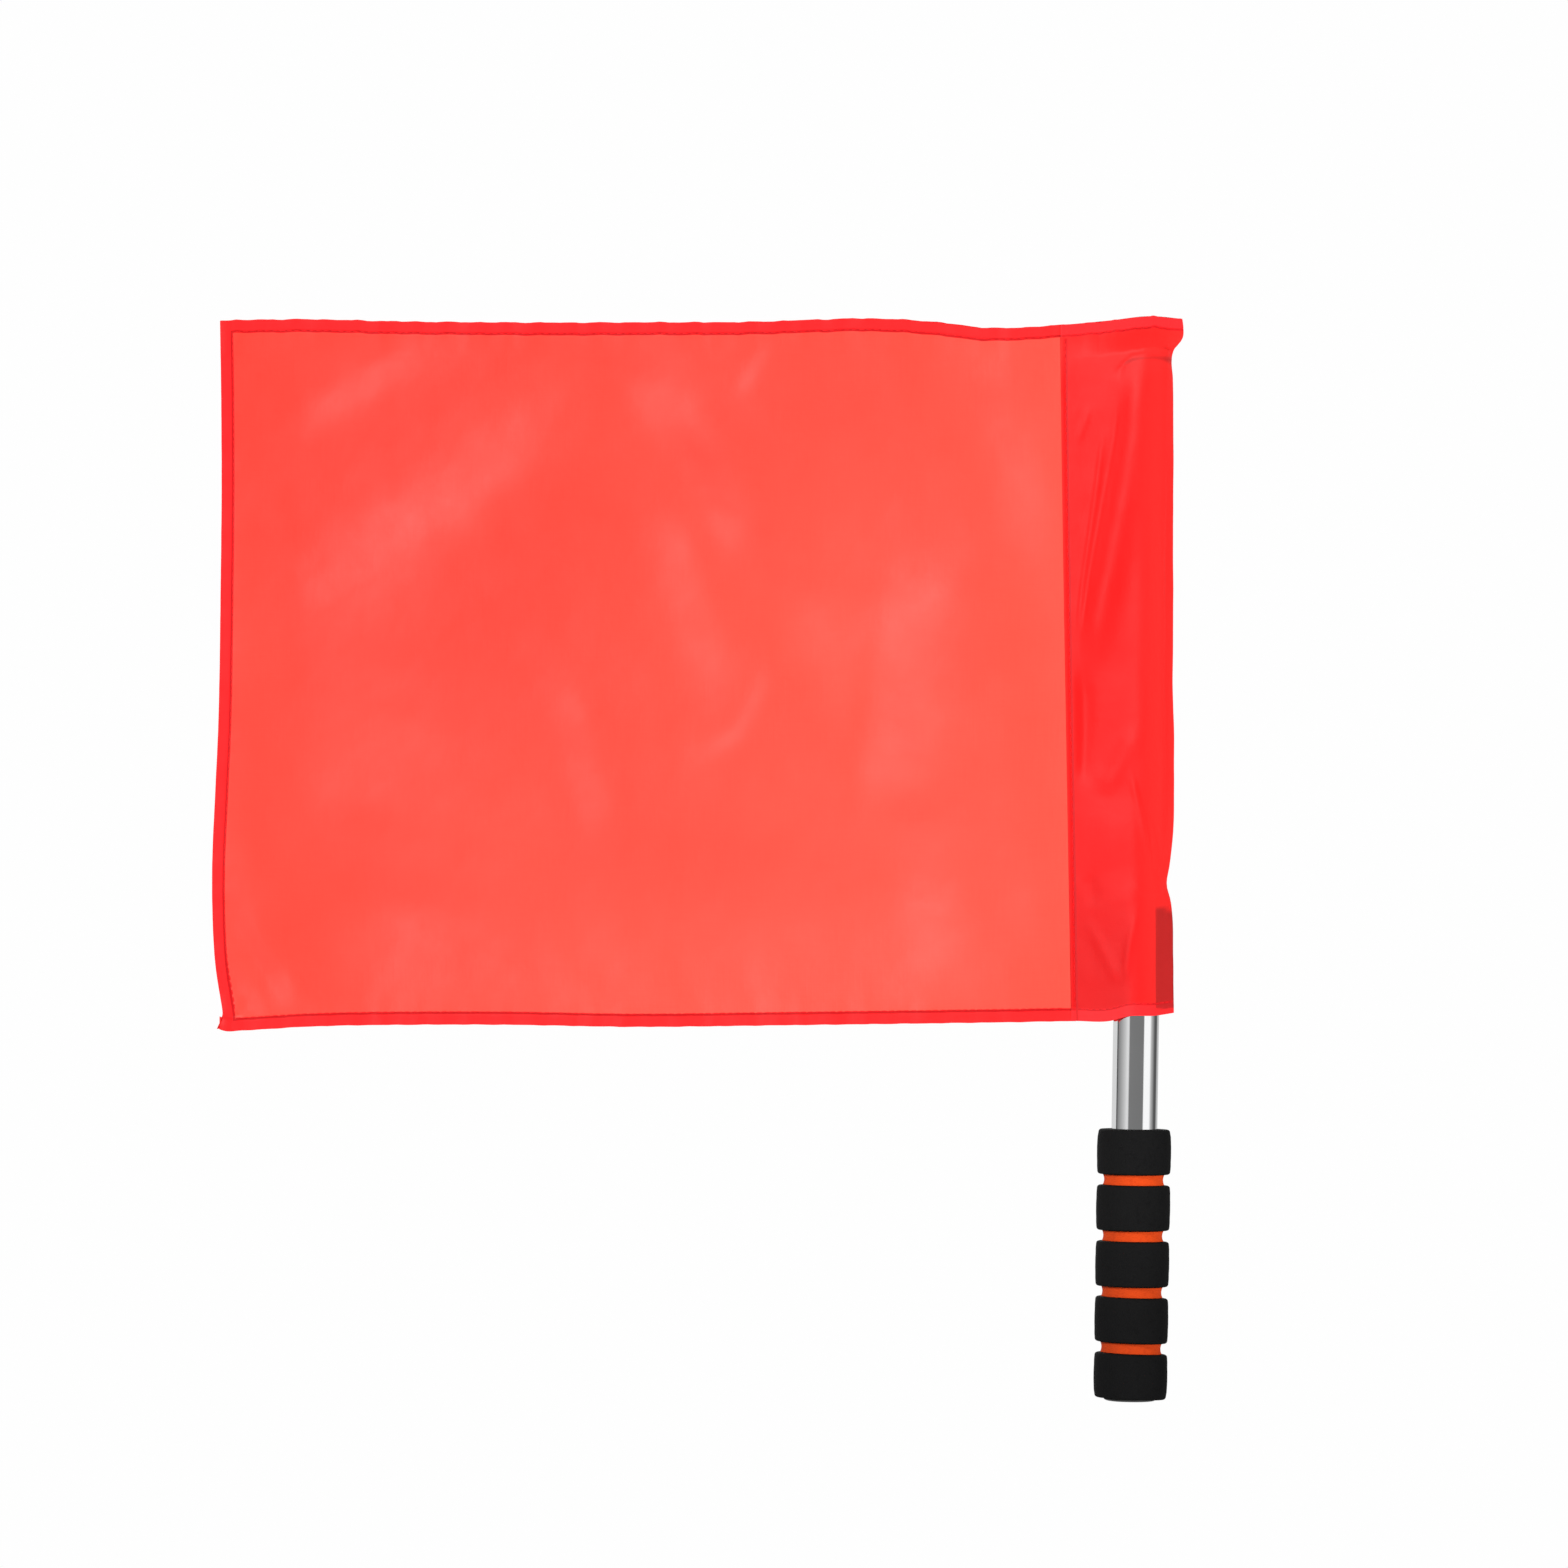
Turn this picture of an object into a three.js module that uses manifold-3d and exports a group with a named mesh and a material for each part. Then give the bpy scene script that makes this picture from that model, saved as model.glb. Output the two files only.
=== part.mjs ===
// A hand-held signal flag: a red cloth flag whose sleeve slips over a stainless tube with a banded foam grip.
// Millimetres, +Z up along the tube. The origin is on the tube's axis, halfway up the grip, where a hand holds it.
// The flag flies towards -X, and its front faces -Y.
import * as THREE from "three";
import { mergeVertices } from "three/addons/utils/BufferGeometryUtils.js";
import Module from "manifold-3d";

const wasm = await Module();
wasm.setup();

// ---- Sizes ----

const roundSegments = 48;

// The tube, and the plastic plugs pressed into its two ends. Its length follows from the grip and the flag.
const tubeRadius = 9.5;
const tubeWall = 0.6;
const seatGap = 0.1; // between pieces that are pressed or glued together
const plugSpigotLength = 12;
const plugSpigotWall = 1.6;
const topPlugFlange = 1.2;
const capOverhang = 1.4; // how far the cap's rim stands out past the tube
const capFlatRadius = 7;
const capHeadHeight = 1.2;

// The grip: black foam rings with narrower orange bands between them.
const ringCount = 5;
const ringLength = 18.8;
const ringWall = 5.9; // of foam, over the tube
const ringEdgeRound = 1.4;
const bandLength = 4.4;
const bandWall = 3.3;
const bandWaist = 0.5; // how far a band is drawn in at its middle

// The flag, in its own frame: u runs along the cloth from the tube's axis, w up from the flag's lower edge.
const flagHeight = 288.5;
const flagLean = THREE.MathUtils.degToRad(0.92); // the sleeve is loose, so the flag sits a little askew
const flagAboveGrip = 47;
const flagAboveTube = 17.2; // here the sleeve flattens and is sewn shut
const panelWidth = 352; // from the sleeve's seam to the fly edge, along the middle
const flyDrop = 5.5; // the lower edge hangs this much lower at the fly edge
const seamSlope = 0.0155; // the seam runs away from the fold towards the top
const seamToTube = 15.5; // at the lower edge
const foldToTube = 1.75; // at the tube's top end, where the fold comes closest
const clothThickness = 0.5;
const hemWidth = 5.5;
const hemThickness = 1.1;
const flareOut = 4.3; // the sewn-flat top corner stands out past the fold by this much
const hingeGap = 0.7; // from the line where the panel bends to the panel and to the sleeve

// Hook-and-loop tape: the hook half is stuck on the tube, the loop half is sewn inside the sleeve's fold.
const tapeLength = 40;
const tapeWidth = 20;
const tapeThickness = 1;
const tapeAboveMouth = 3.5;
const tapeGap = 0.3;

// Sewing thread.
const threadWidth = 0.5;
const threadThickness = 0.3;
const threadGap = 0.15;
const stitchInset = 4.6; // from the cloth's edge to the stitch line

// ---- Places worked out from the sizes ----

const gripPitch = ringLength + bandLength;
const gripLength = ringCount * ringLength + (ringCount - 1) * bandLength;
const gripBottom = -gripLength / 2;
const gripTop = gripLength / 2;
const mouthHeight = gripTop + flagAboveGrip;
const tubeBottom = gripBottom;
const tubeTop = mouthHeight + flagHeight - flagAboveTube;
const tubeBore = tubeRadius - tubeWall;
const spigotRadius = tubeBore - seatGap;
const capRadius = tubeRadius + capOverhang;
const ringRadius = tubeRadius + ringWall;
const bandRadius = tubeRadius + bandWall;

// In the flag's frame the tube's axis slants, by the flag's lean.
const axisAt = (w) => w * Math.tan(flagLean);
const seamAt = (w) => -tubeRadius - seamToTube - seamSlope * w;
// The sleeve's inside clears the tape by the mouth, and closes in on the tube towards its top end.
const tapeClear = tubeRadius + 2 * (tapeThickness + tapeGap);
const tubeClear = tubeRadius + tapeGap + clothThickness;
const tapeTop = tapeAboveMouth + tapeLength;
const narrowStart = tapeTop + 10;
const closureStart = tubeTop + topPlugFlange + 1 - mouthHeight;
const hemLine = flagHeight - hemWidth;
const foldEdge = axisAt(closureStart) + tubeRadius + foldToTube;
const flyEdge = seamAt(flagHeight / 2) - panelWidth;
const panelEdgeAt = (w) => seamAt(w) - 2 * hingeGap - hemThickness;

// ---- Materials ----

const standard = (color, roughness, metalness) =>
  new THREE.MeshStandardMaterial({ color, roughness, metalness });
const stainless = standard(0xc9cbcd, 0.18, 1);
const blackPlastic = standard(0x161616, 0.5, 0);
const blackFoam = standard(0x1f1f1f, 0.92, 0);
const orangeFoam = standard(0xe8501c, 0.85, 0);
const redCloth = standard(0xff4438, 0.65, 0);
const redThread = standard(0xc8202a, 0.6, 0);
const blackTape = standard(0x1a1a1c, 0.95, 0);

// ---- Helpers ----

const piece = (name, geometry, material) => {
  const mesh = new THREE.Mesh(geometry, material);
  mesh.name = name;
  return mesh;
};

// A solid turned about Z. The profile is [radius, height] points that run upwards along the outside.
const turned = (profile) => {
  const points = profile.map(([r, z]) => new THREE.Vector2(r, z));
  points.push(points[0].clone());
  return new THREE.LatheGeometry(points, roundSegments).rotateX(Math.PI / 2);
};

// Points of a quarter round between two directions, for a profile. Angles are in degrees.
const arc = (r, z, radius, from, to, steps = 5) =>
  Array.from({ length: steps + 1 }, (_, i) => {
    const a = THREE.MathUtils.degToRad(from + ((to - from) * i) / steps);
    return [r + radius * Math.cos(a), z + radius * Math.sin(a)];
  });

const toManifold = (geometry) => {
  const bare = geometry.clone();
  bare.deleteAttribute("normal");
  bare.deleteAttribute("uv");
  const merged = mergeVertices(bare, 1e-4);
  return new wasm.Manifold(
    new wasm.Mesh({
      numProp: 3,
      vertProperties: merged.attributes.position.array,
      triVerts: new Uint32Array(merged.index.array),
    }),
  );
};

const toGeometry = (solid) => {
  const mesh = solid.getMesh();
  const geometry = new THREE.BufferGeometry();
  geometry.setAttribute("position", new THREE.BufferAttribute(mesh.vertProperties, 3));
  geometry.setIndex(new THREE.BufferAttribute(mesh.triVerts, 1));
  return geometry;
};

// A flat outline in the flag's plane, as a plate centred on that plane. Points are [u, w].
const plate = (outline, thickness) => {
  const shape = new THREE.Shape(outline.map(([u, w]) => new THREE.Vector2(u, w)));
  const geometry = new THREE.ExtrudeGeometry(shape, { depth: thickness, bevelEnabled: false });
  return geometry.translate(0, 0, -thickness / 2).rotateX(Math.PI / 2);
};

// A straight strip of the given width between two [u, w] points, with its middle at the given v.
const strip = (from, to, width, thickness, v) => {
  const start = new THREE.Vector2(...from);
  const end = new THREE.Vector2(...to);
  const across = end.clone().sub(start).normalize().multiplyScalar(width / 2);
  const [x, y] = [-across.y, across.x];
  const corners = [
    [start.x - x, start.y - y],
    [end.x - x, end.y - y],
    [end.x + x, end.y + y],
    [start.x + x, start.y + y],
  ];
  return plate(corners, thickness).translate(0, v, 0);
};

// A closed skin over rings that all have the same number of points. The last ring meets the first if it's a torus,
// and otherwise both end rings are capped by a fan about their mean point.
const skin = (rings, isTorus = false) => {
  const count = rings[0].length;
  const positions = rings.flat(2);
  const faces = [];
  const last = isTorus ? rings.length : rings.length - 1;
  for (let i = 0; i < last; i++) {
    const here = i * count;
    const next = ((i + 1) % rings.length) * count;
    for (let j = 0; j < count; j++) {
      const k = (j + 1) % count;
      faces.push(here + j, here + k, next + k, here + j, next + k, next + j);
    }
  }
  if (!isTorus) {
    [rings[0], rings[rings.length - 1]].forEach((ring, end) => {
      const centre = positions.length / 3;
      const first = end === 0 ? 0 : (rings.length - 1) * count;
      positions.push(...[0, 1, 2].map((axis) => ring.reduce((sum, p) => sum + p[axis], 0) / count));
      for (let j = 0; j < count; j++) {
        const k = (j + 1) % count;
        if (end === 0) faces.push(centre, first + k, first + j);
        else faces.push(centre, first + j, first + k);
      }
    });
  }
  const geometry = new THREE.BufferGeometry();
  geometry.setAttribute("position", new THREE.BufferAttribute(new Float32Array(positions), 3));
  geometry.setIndex(faces);
  return geometry;
};

// ---- The pole and its grip ----

const poleTube = () =>
  turned([
    [tubeBore, tubeBottom],
    [tubeRadius, tubeBottom],
    [tubeRadius, tubeTop],
    [tubeBore, tubeTop],
  ]);

const tubeTopPlug = () => {
  const seat = tubeTop + seatGap;
  const rim = topPlugFlange / 2;
  const bore = spigotRadius - plugSpigotWall;
  return turned([
    [bore, seat - plugSpigotLength],
    [spigotRadius, seat - plugSpigotLength],
    [spigotRadius, seat],
    [tubeRadius, seat],
    ...arc(tubeRadius - rim, seat + rim, rim, 0, 90),
    [0, seat + topPlugFlange],
    [0, seat],
    [bore, seat],
  ]);
};

const gripEndCap = () => {
  const seat = tubeBottom - seatGap;
  const foot = tubeBottom - capHeadHeight;
  const bore = spigotRadius - plugSpigotWall;
  return turned([
    [0, foot],
    [capFlatRadius, foot],
    [(capFlatRadius + capRadius) / 2, foot + 0.2 * capHeadHeight],
    [capRadius, foot + 0.75 * capHeadHeight],
    [capRadius, seat],
    [spigotRadius, seat],
    [spigotRadius, seat + plugSpigotLength],
    [bore, seat + plugSpigotLength],
    [bore, seat],
    [0, seat],
  ]);
};

const gripRing = (index) => {
  const bottom = gripBottom + index * gripPitch;
  const top = bottom + ringLength;
  const bore = tubeRadius + seatGap;
  const corner = ringRadius - ringEdgeRound;
  return turned([
    [bore, bottom],
    ...arc(corner, bottom + ringEdgeRound, ringEdgeRound, -90, 0),
    ...arc(corner, top - ringEdgeRound, ringEdgeRound, 0, 90),
    [bore, top],
  ]);
};

const gripBand = (index) => {
  const bottom = gripBottom + index * gripPitch + ringLength + seatGap;
  const top = bottom + bandLength - 2 * seatGap;
  const bore = tubeRadius + seatGap;
  return turned([
    [bore, bottom],
    [bandRadius, bottom],
    [bandRadius - bandWaist, (bottom + top) / 2],
    [bandRadius, top],
    [bore, top],
  ]);
};

// The hook tape wraps the side of the tube that faces the sleeve's fold.
const hookTape = () => {
  const inner = tubeRadius + seatGap;
  const outer = inner + tapeThickness;
  const half = tapeWidth / 2 / ((inner + outer) / 2);
  const shape = new THREE.Shape();
  shape.absarc(0, 0, outer, -half, half, false);
  shape.absarc(0, 0, inner, half, -half, true);
  const geometry = new THREE.ExtrudeGeometry(shape, { depth: tapeLength, bevelEnabled: false, curveSegments: 12 });
  return geometry.translate(0, 0, mouthHeight + tapeAboveMouth);
};

// ---- The sleeve ----

// How the sleeve's inside lies at height w: the seam's and fold's places, and the round that it clears the tube by.
const sleeveSection = (w) => {
  const along = THREE.MathUtils.clamp((w - narrowStart) / (closureStart - narrowStart), 0, 1);
  const open = THREE.MathUtils.lerp(tapeClear, tubeClear, along);
  const closing = THREE.MathUtils.clamp((w - closureStart) / (hemLine - closureStart), 0, 1);
  const flat = THREE.MathUtils.smoothstep(closing, 0, 1);
  return {
    seam: seamAt(w),
    fold: foldEdge + flareOut * flat,
    centre: axisAt(w),
    round: THREE.MathUtils.lerp(open, clothThickness / 2, closing),
  };
};

// The outline around a round between two end points, grown outwards, as [u, v] points from the seam along the front
// to the fold and back along the rear.
const wrapOutline = ({ seam, fold, centre, round }, grow, arcSteps = 8) => {
  const radius = round + grow;
  const ends = [
    [seam - grow, -1],
    [fold + grow, 1],
  ];
  const [toSeam, toFold] = ends.map(([u]) => Math.asin(Math.min(1, radius / Math.abs(u - centre))));
  const front = [[seam - grow, 0]];
  for (let i = 0; i <= arcSteps; i++) {
    const from = Math.PI + (Math.PI / 2 - toSeam);
    const to = 2 * Math.PI - (Math.PI / 2 - toFold);
    const a = from + ((to - from) * i) / arcSteps;
    front.push([centre + radius * Math.cos(a), radius * Math.sin(a)]);
  }
  front.push([fold + grow, 0]);
  const rear = front
    .slice(1, -1)
    .reverse()
    .map(([u, v]) => [u, -v]);
  return [...front, ...rear];
};

const sleeveRing = (w, grow) => wrapOutline(sleeveSection(w), grow).map(([u, v]) => [u, v, w]);

// The cloth walls stand around the hollow, with a thicker hem at the mouth, and the top is sewn shut.
const sleeveCloth = () => {
  const closing = [0, 0.2, 0.4, 0.6, 0.8, 1].map((t) => THREE.MathUtils.lerp(closureStart, hemLine, t));
  const inside = [0, hemWidth, narrowStart, ...closing];
  const outside = [
    [0, hemThickness],
    [hemWidth, hemThickness],
    [hemWidth + 0.5, clothThickness],
    [narrowStart, clothThickness],
    ...closing.map((w) => [w, clothThickness]),
    [flagHeight, clothThickness],
  ];
  const rings = [
    ...inside.map((w) => sleeveRing(w, 0)).reverse(),
    ...outside.map(([w, grow]) => sleeveRing(w, grow)),
  ];
  return skin(rings);
};

// The loop tape is folded in a V that lines the sleeve's fold. It faces the hook tape and stands parallel to it.
const loopTape = () => {
  const { fold, centre, round } = sleeveSection(tapeTop);
  const slant = Math.asin(round / (fold - centre));
  const sides = [tapeGap, tapeGap + tapeThickness].map((inset) => {
    const apex = fold - centre - inset / Math.sin(slant);
    const reach = tapeWidth / 2 - inset / Math.tan(slant);
    return { apex, tip: [apex - reach * Math.cos(slant), reach * Math.sin(slant)] };
  });
  const [outer, inner] = sides;
  const outline = [
    [outer.apex, 0],
    [outer.tip[0], outer.tip[1]],
    [inner.tip[0], inner.tip[1]],
    [inner.apex, 0],
    [inner.tip[0], -inner.tip[1]],
    [outer.tip[0], -outer.tip[1]],
  ];
  const shape = new THREE.Shape(outline.map(([u, v]) => new THREE.Vector2(u, v)));
  const geometry = new THREE.ExtrudeGeometry(shape, { depth: tapeLength, bevelEnabled: false });
  return geometry.translate(0, 0, mouthHeight + tapeAboveMouth);
};

// ---- The panel ----

const flagPanel = () => {
  const outline = [
    [flyEdge, -flyDrop],
    [panelEdgeAt(0), 0],
    [panelEdgeAt(flagHeight), flagHeight],
    [flyEdge, flagHeight],
  ];
  const inner = [
    [flyEdge + hemWidth, hemWidth - flyDrop],
    [panelEdgeAt(hemWidth) + hemWidth, hemWidth],
    [panelEdgeAt(hemLine) + hemWidth, hemLine],
    [flyEdge + hemWidth, hemLine],
  ];
  const hem = toManifold(plate(outline, hemThickness)).subtract(toManifold(plate(inner, 2 * hemThickness)));
  return toGeometry(hem.add(toManifold(plate(outline, clothThickness))));
};

// ---- Stitch lines, on the front of the cloth ----

const hemThreadV = -(hemThickness / 2 + threadGap + threadThickness / 2);

const hemThread = (from, to) => strip(from, to, threadWidth, threadThickness, hemThreadV);

const topStitchHeight = flagHeight - stitchInset;
const flyStitch = flyEdge + stitchInset;
const threadEnd = hingeGap + threadWidth;

const topHemThread = () =>
  hemThread([flyStitch + threadEnd, topStitchHeight], [panelEdgeAt(topStitchHeight) - threadEnd, topStitchHeight]);
const bottomHemThread = () =>
  hemThread([flyStitch + threadEnd, stitchInset - flyDrop], [panelEdgeAt(stitchInset) - threadEnd, stitchInset]);
const flyHemThread = () => hemThread([flyStitch, stitchInset - flyDrop], [flyStitch, topStitchHeight]);

// The seam's stitches run up the sleeve's front wall, just beside the seam.
const seamThread = () => {
  const inset = 2;
  const clear = threadGap + threadThickness / 2;
  const ring = (w) => {
    const { seam, centre, round } = sleeveSection(w);
    const edge = seam - clothThickness;
    const slant = Math.asin((round + clothThickness) / (centre - edge));
    const along = [Math.cos(slant), -Math.sin(slant)];
    const out = [-Math.sin(slant), -Math.cos(slant)];
    const corners = [
      [-1, 1],
      [1, 1],
      [1, -1],
      [-1, -1],
    ];
    return corners.map(([s, t]) => {
      const a = inset + (s * threadWidth) / 2;
      const b = clear + (t * threadThickness) / 2;
      return [edge + along[0] * a + out[0] * b, along[1] * a + out[1] * b, w];
    });
  };
  return skin([hemWidth + 3, narrowStart, closureStart - 3].map(ring));
};

// Along the top the sleeve is flat, so its stitches are a straight strip like the hems'.
const sleeveTopThread = () => {
  const w = topStitchHeight;
  const v = -(clothThickness * 1.5 + threadGap + threadThickness / 2);
  const { seam, fold } = sleeveSection(flagHeight);
  return strip([seam + threadEnd, w], [fold - threadEnd, w], threadWidth, threadThickness, v);
};

// Around the mouth the stitches run right round the hem.
const sleeveMouthThread = () => {
  const near = hemThickness + threadGap;
  const far = near + threadThickness;
  const low = stitchInset - threadWidth / 2;
  const high = stitchInset + threadWidth / 2;
  const rings = [
    [low, near],
    [low, far],
    [high, far],
    [high, near],
  ];
  return skin(
    rings.map(([w, grow]) => sleeveRing(w, grow)),
    true,
  );
};

// ---- Assembly ----

const signalFlag = new THREE.Group();

signalFlag.add(piece("pole_tube", poleTube(), stainless));
signalFlag.add(piece("tube_top_plug", tubeTopPlug(), blackPlastic));
signalFlag.add(piece("grip_end_cap", gripEndCap(), blackPlastic));
signalFlag.add(piece("hook_tape", hookTape(), blackTape));
signalFlag.add(piece("loop_tape", loopTape(), blackTape));
for (let i = 0; i < ringCount; i++) {
  signalFlag.add(piece(`grip_ring_${i + 1}`, gripRing(i), blackFoam));
}
for (let i = 0; i < ringCount - 1; i++) {
  signalFlag.add(piece(`grip_band_${i + 1}`, gripBand(i), orangeFoam));
}

const flag = new THREE.Group();
flag.position.z = mouthHeight;
flag.rotation.y = -flagLean;
flag.add(piece("sleeve_cloth", sleeveCloth(), redCloth));
flag.add(piece("flag_panel", flagPanel(), redCloth));
flag.add(piece("top_hem_thread", topHemThread(), redThread));
flag.add(piece("bottom_hem_thread", bottomHemThread(), redThread));
flag.add(piece("fly_hem_thread", flyHemThread(), redThread));
flag.add(piece("sleeve_seam_thread", seamThread(), redThread));
flag.add(piece("sleeve_top_thread", sleeveTopThread(), redThread));
flag.add(piece("sleeve_mouth_thread", sleeveMouthThread(), redThread));
signalFlag.add(flag);

export default signalFlag;
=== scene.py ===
# The looks of a hand-held signal flag: a red cloth flag on a polished tube with a banded foam grip.
# Lengths are in millimetres until a mesh is made. The flag has its own flat frame: u runs along the cloth
# from the tube's axis, v out of its back, and w up from the flag's lower edge.
import math

import bmesh
import bpy
import numpy as np
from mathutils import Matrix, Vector


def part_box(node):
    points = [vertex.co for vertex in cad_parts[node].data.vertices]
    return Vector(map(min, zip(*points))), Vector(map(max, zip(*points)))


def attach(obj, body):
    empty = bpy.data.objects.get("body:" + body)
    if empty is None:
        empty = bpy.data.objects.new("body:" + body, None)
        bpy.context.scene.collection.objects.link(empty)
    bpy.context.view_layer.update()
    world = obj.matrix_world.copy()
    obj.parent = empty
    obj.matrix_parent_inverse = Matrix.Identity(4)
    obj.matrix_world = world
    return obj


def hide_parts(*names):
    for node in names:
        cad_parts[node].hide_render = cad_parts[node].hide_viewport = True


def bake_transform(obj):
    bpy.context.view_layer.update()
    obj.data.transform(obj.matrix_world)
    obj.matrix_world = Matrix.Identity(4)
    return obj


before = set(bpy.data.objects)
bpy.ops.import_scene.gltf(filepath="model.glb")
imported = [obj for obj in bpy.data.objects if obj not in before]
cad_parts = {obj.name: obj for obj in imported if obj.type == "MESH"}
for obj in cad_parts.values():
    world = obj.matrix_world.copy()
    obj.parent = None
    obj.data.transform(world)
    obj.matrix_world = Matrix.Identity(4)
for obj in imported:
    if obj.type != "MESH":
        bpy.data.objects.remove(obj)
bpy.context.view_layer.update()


# ---- The frame: sizes that come from the CAD nodes ----

def node_box(name):
    low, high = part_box(name)
    return np.array(low) * 1000, np.array(high) * 1000


TUBE_LOW, TUBE_HIGH = node_box("pole_tube")
TUBE_RADIUS = TUBE_HIGH[0]
TUBE_BOTTOM, TUBE_TOP = TUBE_LOW[2], TUBE_HIGH[2]
PLUG_TOP = node_box("tube_top_plug")[1][2]
CAP_LOW, CAP_HIGH = node_box("grip_end_cap")
RINGS = [node_box(f"grip_ring_{i}") for i in range(1, 6)]
BANDS = [node_box(f"grip_band_{i}") for i in range(1, 5)]
GRIP_TOP = RINGS[-1][1][2]

BARE_TUBE = 47  # the length of tube between the grip and the flag
MOUTH = GRIP_TOP + BARE_TUBE  # the height of the flag's lower edge
LEAN = math.radians(0.92)  # the flag leans by this much from the tube
COS, SIN = math.cos(LEAN), math.sin(LEAN)
PLUG_LEVEL = PLUG_TOP - MOUTH  # the plug's top, in the flag's frame
HEM = 5.2  # how wide a hem is folded
THREAD_LINE = 4.5  # how far its stitches are from the edge
TAPE_TOP = 44  # the upper end of the sleeve's tape, above the flag's lower edge


def to_row(points):
    """Points (u, v, w) in the flag's frame, as (x, y, z) in the row frame, in millimetres."""
    u, v, w = np.moveaxis(np.asarray(points, float), -1, 0)
    return np.stack([u * COS - w * SIN, v, u * SIN + w * COS + MOUTH], -1)


# ---- Smooth functions ----

def walked(path):
    """How far each point of a path is along it."""
    return np.concatenate([[0], np.cumsum(np.linalg.norm(np.diff(path, axis=0), axis=1))])


def smoothstep(x, low=0.0, high=1.0):
    t = np.clip((np.asarray(x, float) - low) / (high - low), 0, 1)
    return t * t * (3 - 2 * t)


def curve(points):
    """A smooth function through (x, y) points, flat beyond its ends."""
    xs, ys = np.array(points, float).T
    slopes = np.gradient(ys, xs)

    def at(x):
        x = np.clip(np.asarray(x, float), xs[0], xs[-1])
        i = np.clip(np.searchsorted(xs, x) - 1, 0, len(xs) - 2)
        h = xs[i + 1] - xs[i]
        t = (x - xs[i]) / h
        rise = (2 * t**3 - 3 * t**2 + 1) * ys[i] + (3 * t**2 - 2 * t**3) * ys[i + 1]
        return rise + h * ((t**3 - 2 * t**2 + t) * slopes[i] + (t**3 - t**2) * slopes[i + 1])

    return at


def ripple(x, period, seed):
    """An uneven wave of about the given period, between -1 and 1."""
    x = np.asarray(x, float) * 2 * math.pi / period
    a, b, c = np.sin(seed * 12.9) * 3, np.cos(seed * 7.7) * 3, seed * 1.7
    return 0.5 * np.sin(x + a) + 0.3 * np.sin(0.61 * x + b) + 0.2 * np.sin(1.73 * x + c)


def undulation(u, w, size, seed):
    """A smooth uneven surface with hills of about the given size, between about -1 and 1."""
    rng = np.random.default_rng(seed)
    total = 0
    for _ in range(9):
        angle = rng.uniform(0, math.pi)
        wave = size * rng.uniform(0.75, 1.6)
        phase = rng.uniform(0, 2 * math.pi)
        along = (u * math.cos(angle) + w * math.sin(angle)) * 2 * math.pi / wave
        total = total + np.sin(along + phase + 0.7 * np.sin(0.43 * along + 2 * phase))
    return total / 4


def stroke(u, w, points, width, height, ends):
    """A soft fold that follows a line of (u, w) points, and dies away at both ends."""
    pts = np.array(points, float)
    best = np.full(np.shape(u), 1e9)
    where = np.zeros(np.shape(u))
    lengths = np.linalg.norm(np.diff(pts, axis=0), axis=1)
    total, gone = lengths.sum(), 0.0
    for a, b, length in zip(pts[:-1], pts[1:], lengths):
        d = (b - a) / length
        t = np.clip(((u - a[0]) * d[0] + (w - a[1]) * d[1]) / length, 0, 1)
        off = np.hypot(u - a[0] - t * length * d[0], w - a[1] - t * length * d[1])
        nearer = off < best
        best = np.where(nearer, off, best)
        where = np.where(nearer, (gone + t * length) / total, where)
        gone += length
    fade = smoothstep(where, 0, ends) * smoothstep(1 - where, 0, ends)
    return height * fade * np.exp(-0.5 * (best / width) ** 2)


def hill(u, w, middle, size, height):
    """A rounded rise about a (u, w) point, with its own size each way."""
    return height * np.exp(-0.5 * (((u - middle[0]) / size[0]) ** 2 + ((w - middle[1]) / size[1]) ** 2))


def relief(u, w, table):
    """The sum of a table's folds and hills."""
    return sum(stroke(u, w, *row) if len(row) == 4 else hill(u, w, *row) for row in table)


# ---- The flag's outline, as (u, w) or (w, u) points round the cloth ----

TOP_EDGE = curve([
    (-380, 287.7), (-346, 288.3), (-305, 287.4), (-255, 286.9), (-201, 286.9), (-156, 287.1), (-135, 287.9),
    (-110, 288.5), (-85, 287.3), (-60, 284.6), (-36, 285.5), (-11, 287.7), (6, 289.5), (20, 288.3),
])
LOW_EDGE = curve([
    (-381, -5.2), (-377, -6.3), (-371, -6.1), (-346, -4.6), (-297, -3.7), (-263, -3.7), (-210, -4.5),
    (-139, -3.7), (-73, -2.8), (-25, -2.1), (-11, -1.9), (-4, 0.0), (8, 0.3), (16, 1.3),
])
FLY_EDGE = curve([
    (-6, -380.9), (-3.5, -379.7), (0, -378.4), (4, -378.5), (9, -379.3), (21, -381.2), (40, -382.4),
    (60, -382.5), (93, -381.2), (122, -380.0), (172, -379.2), (255, -378.9), (288, -379.3),
])
FOLD_EDGE = curve([
    (-2, 15.9), (20, 15.5), (36, 15.2), (44, 14.4), (49.5, 13.1), (58, 14.2), (71, 15.7), (100, 15.7),
    (150, 15.6), (213, 15.5), (262, 15.5), (272.5, 15.5), (274.5, 16.4), (277, 18.7), (279.5, 20.0),
    (283, 20.2), (289, 19.4),
])
SEAM = curve([(-8, -24.9), (0, -25.0), (82, -26.3), (164, -27.7), (282, -29.4), (290, -29.5)])


def axis_at(w):
    return np.asarray(w, float) * math.tan(LEAN)


# ---- How the cloth lies ----

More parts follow.
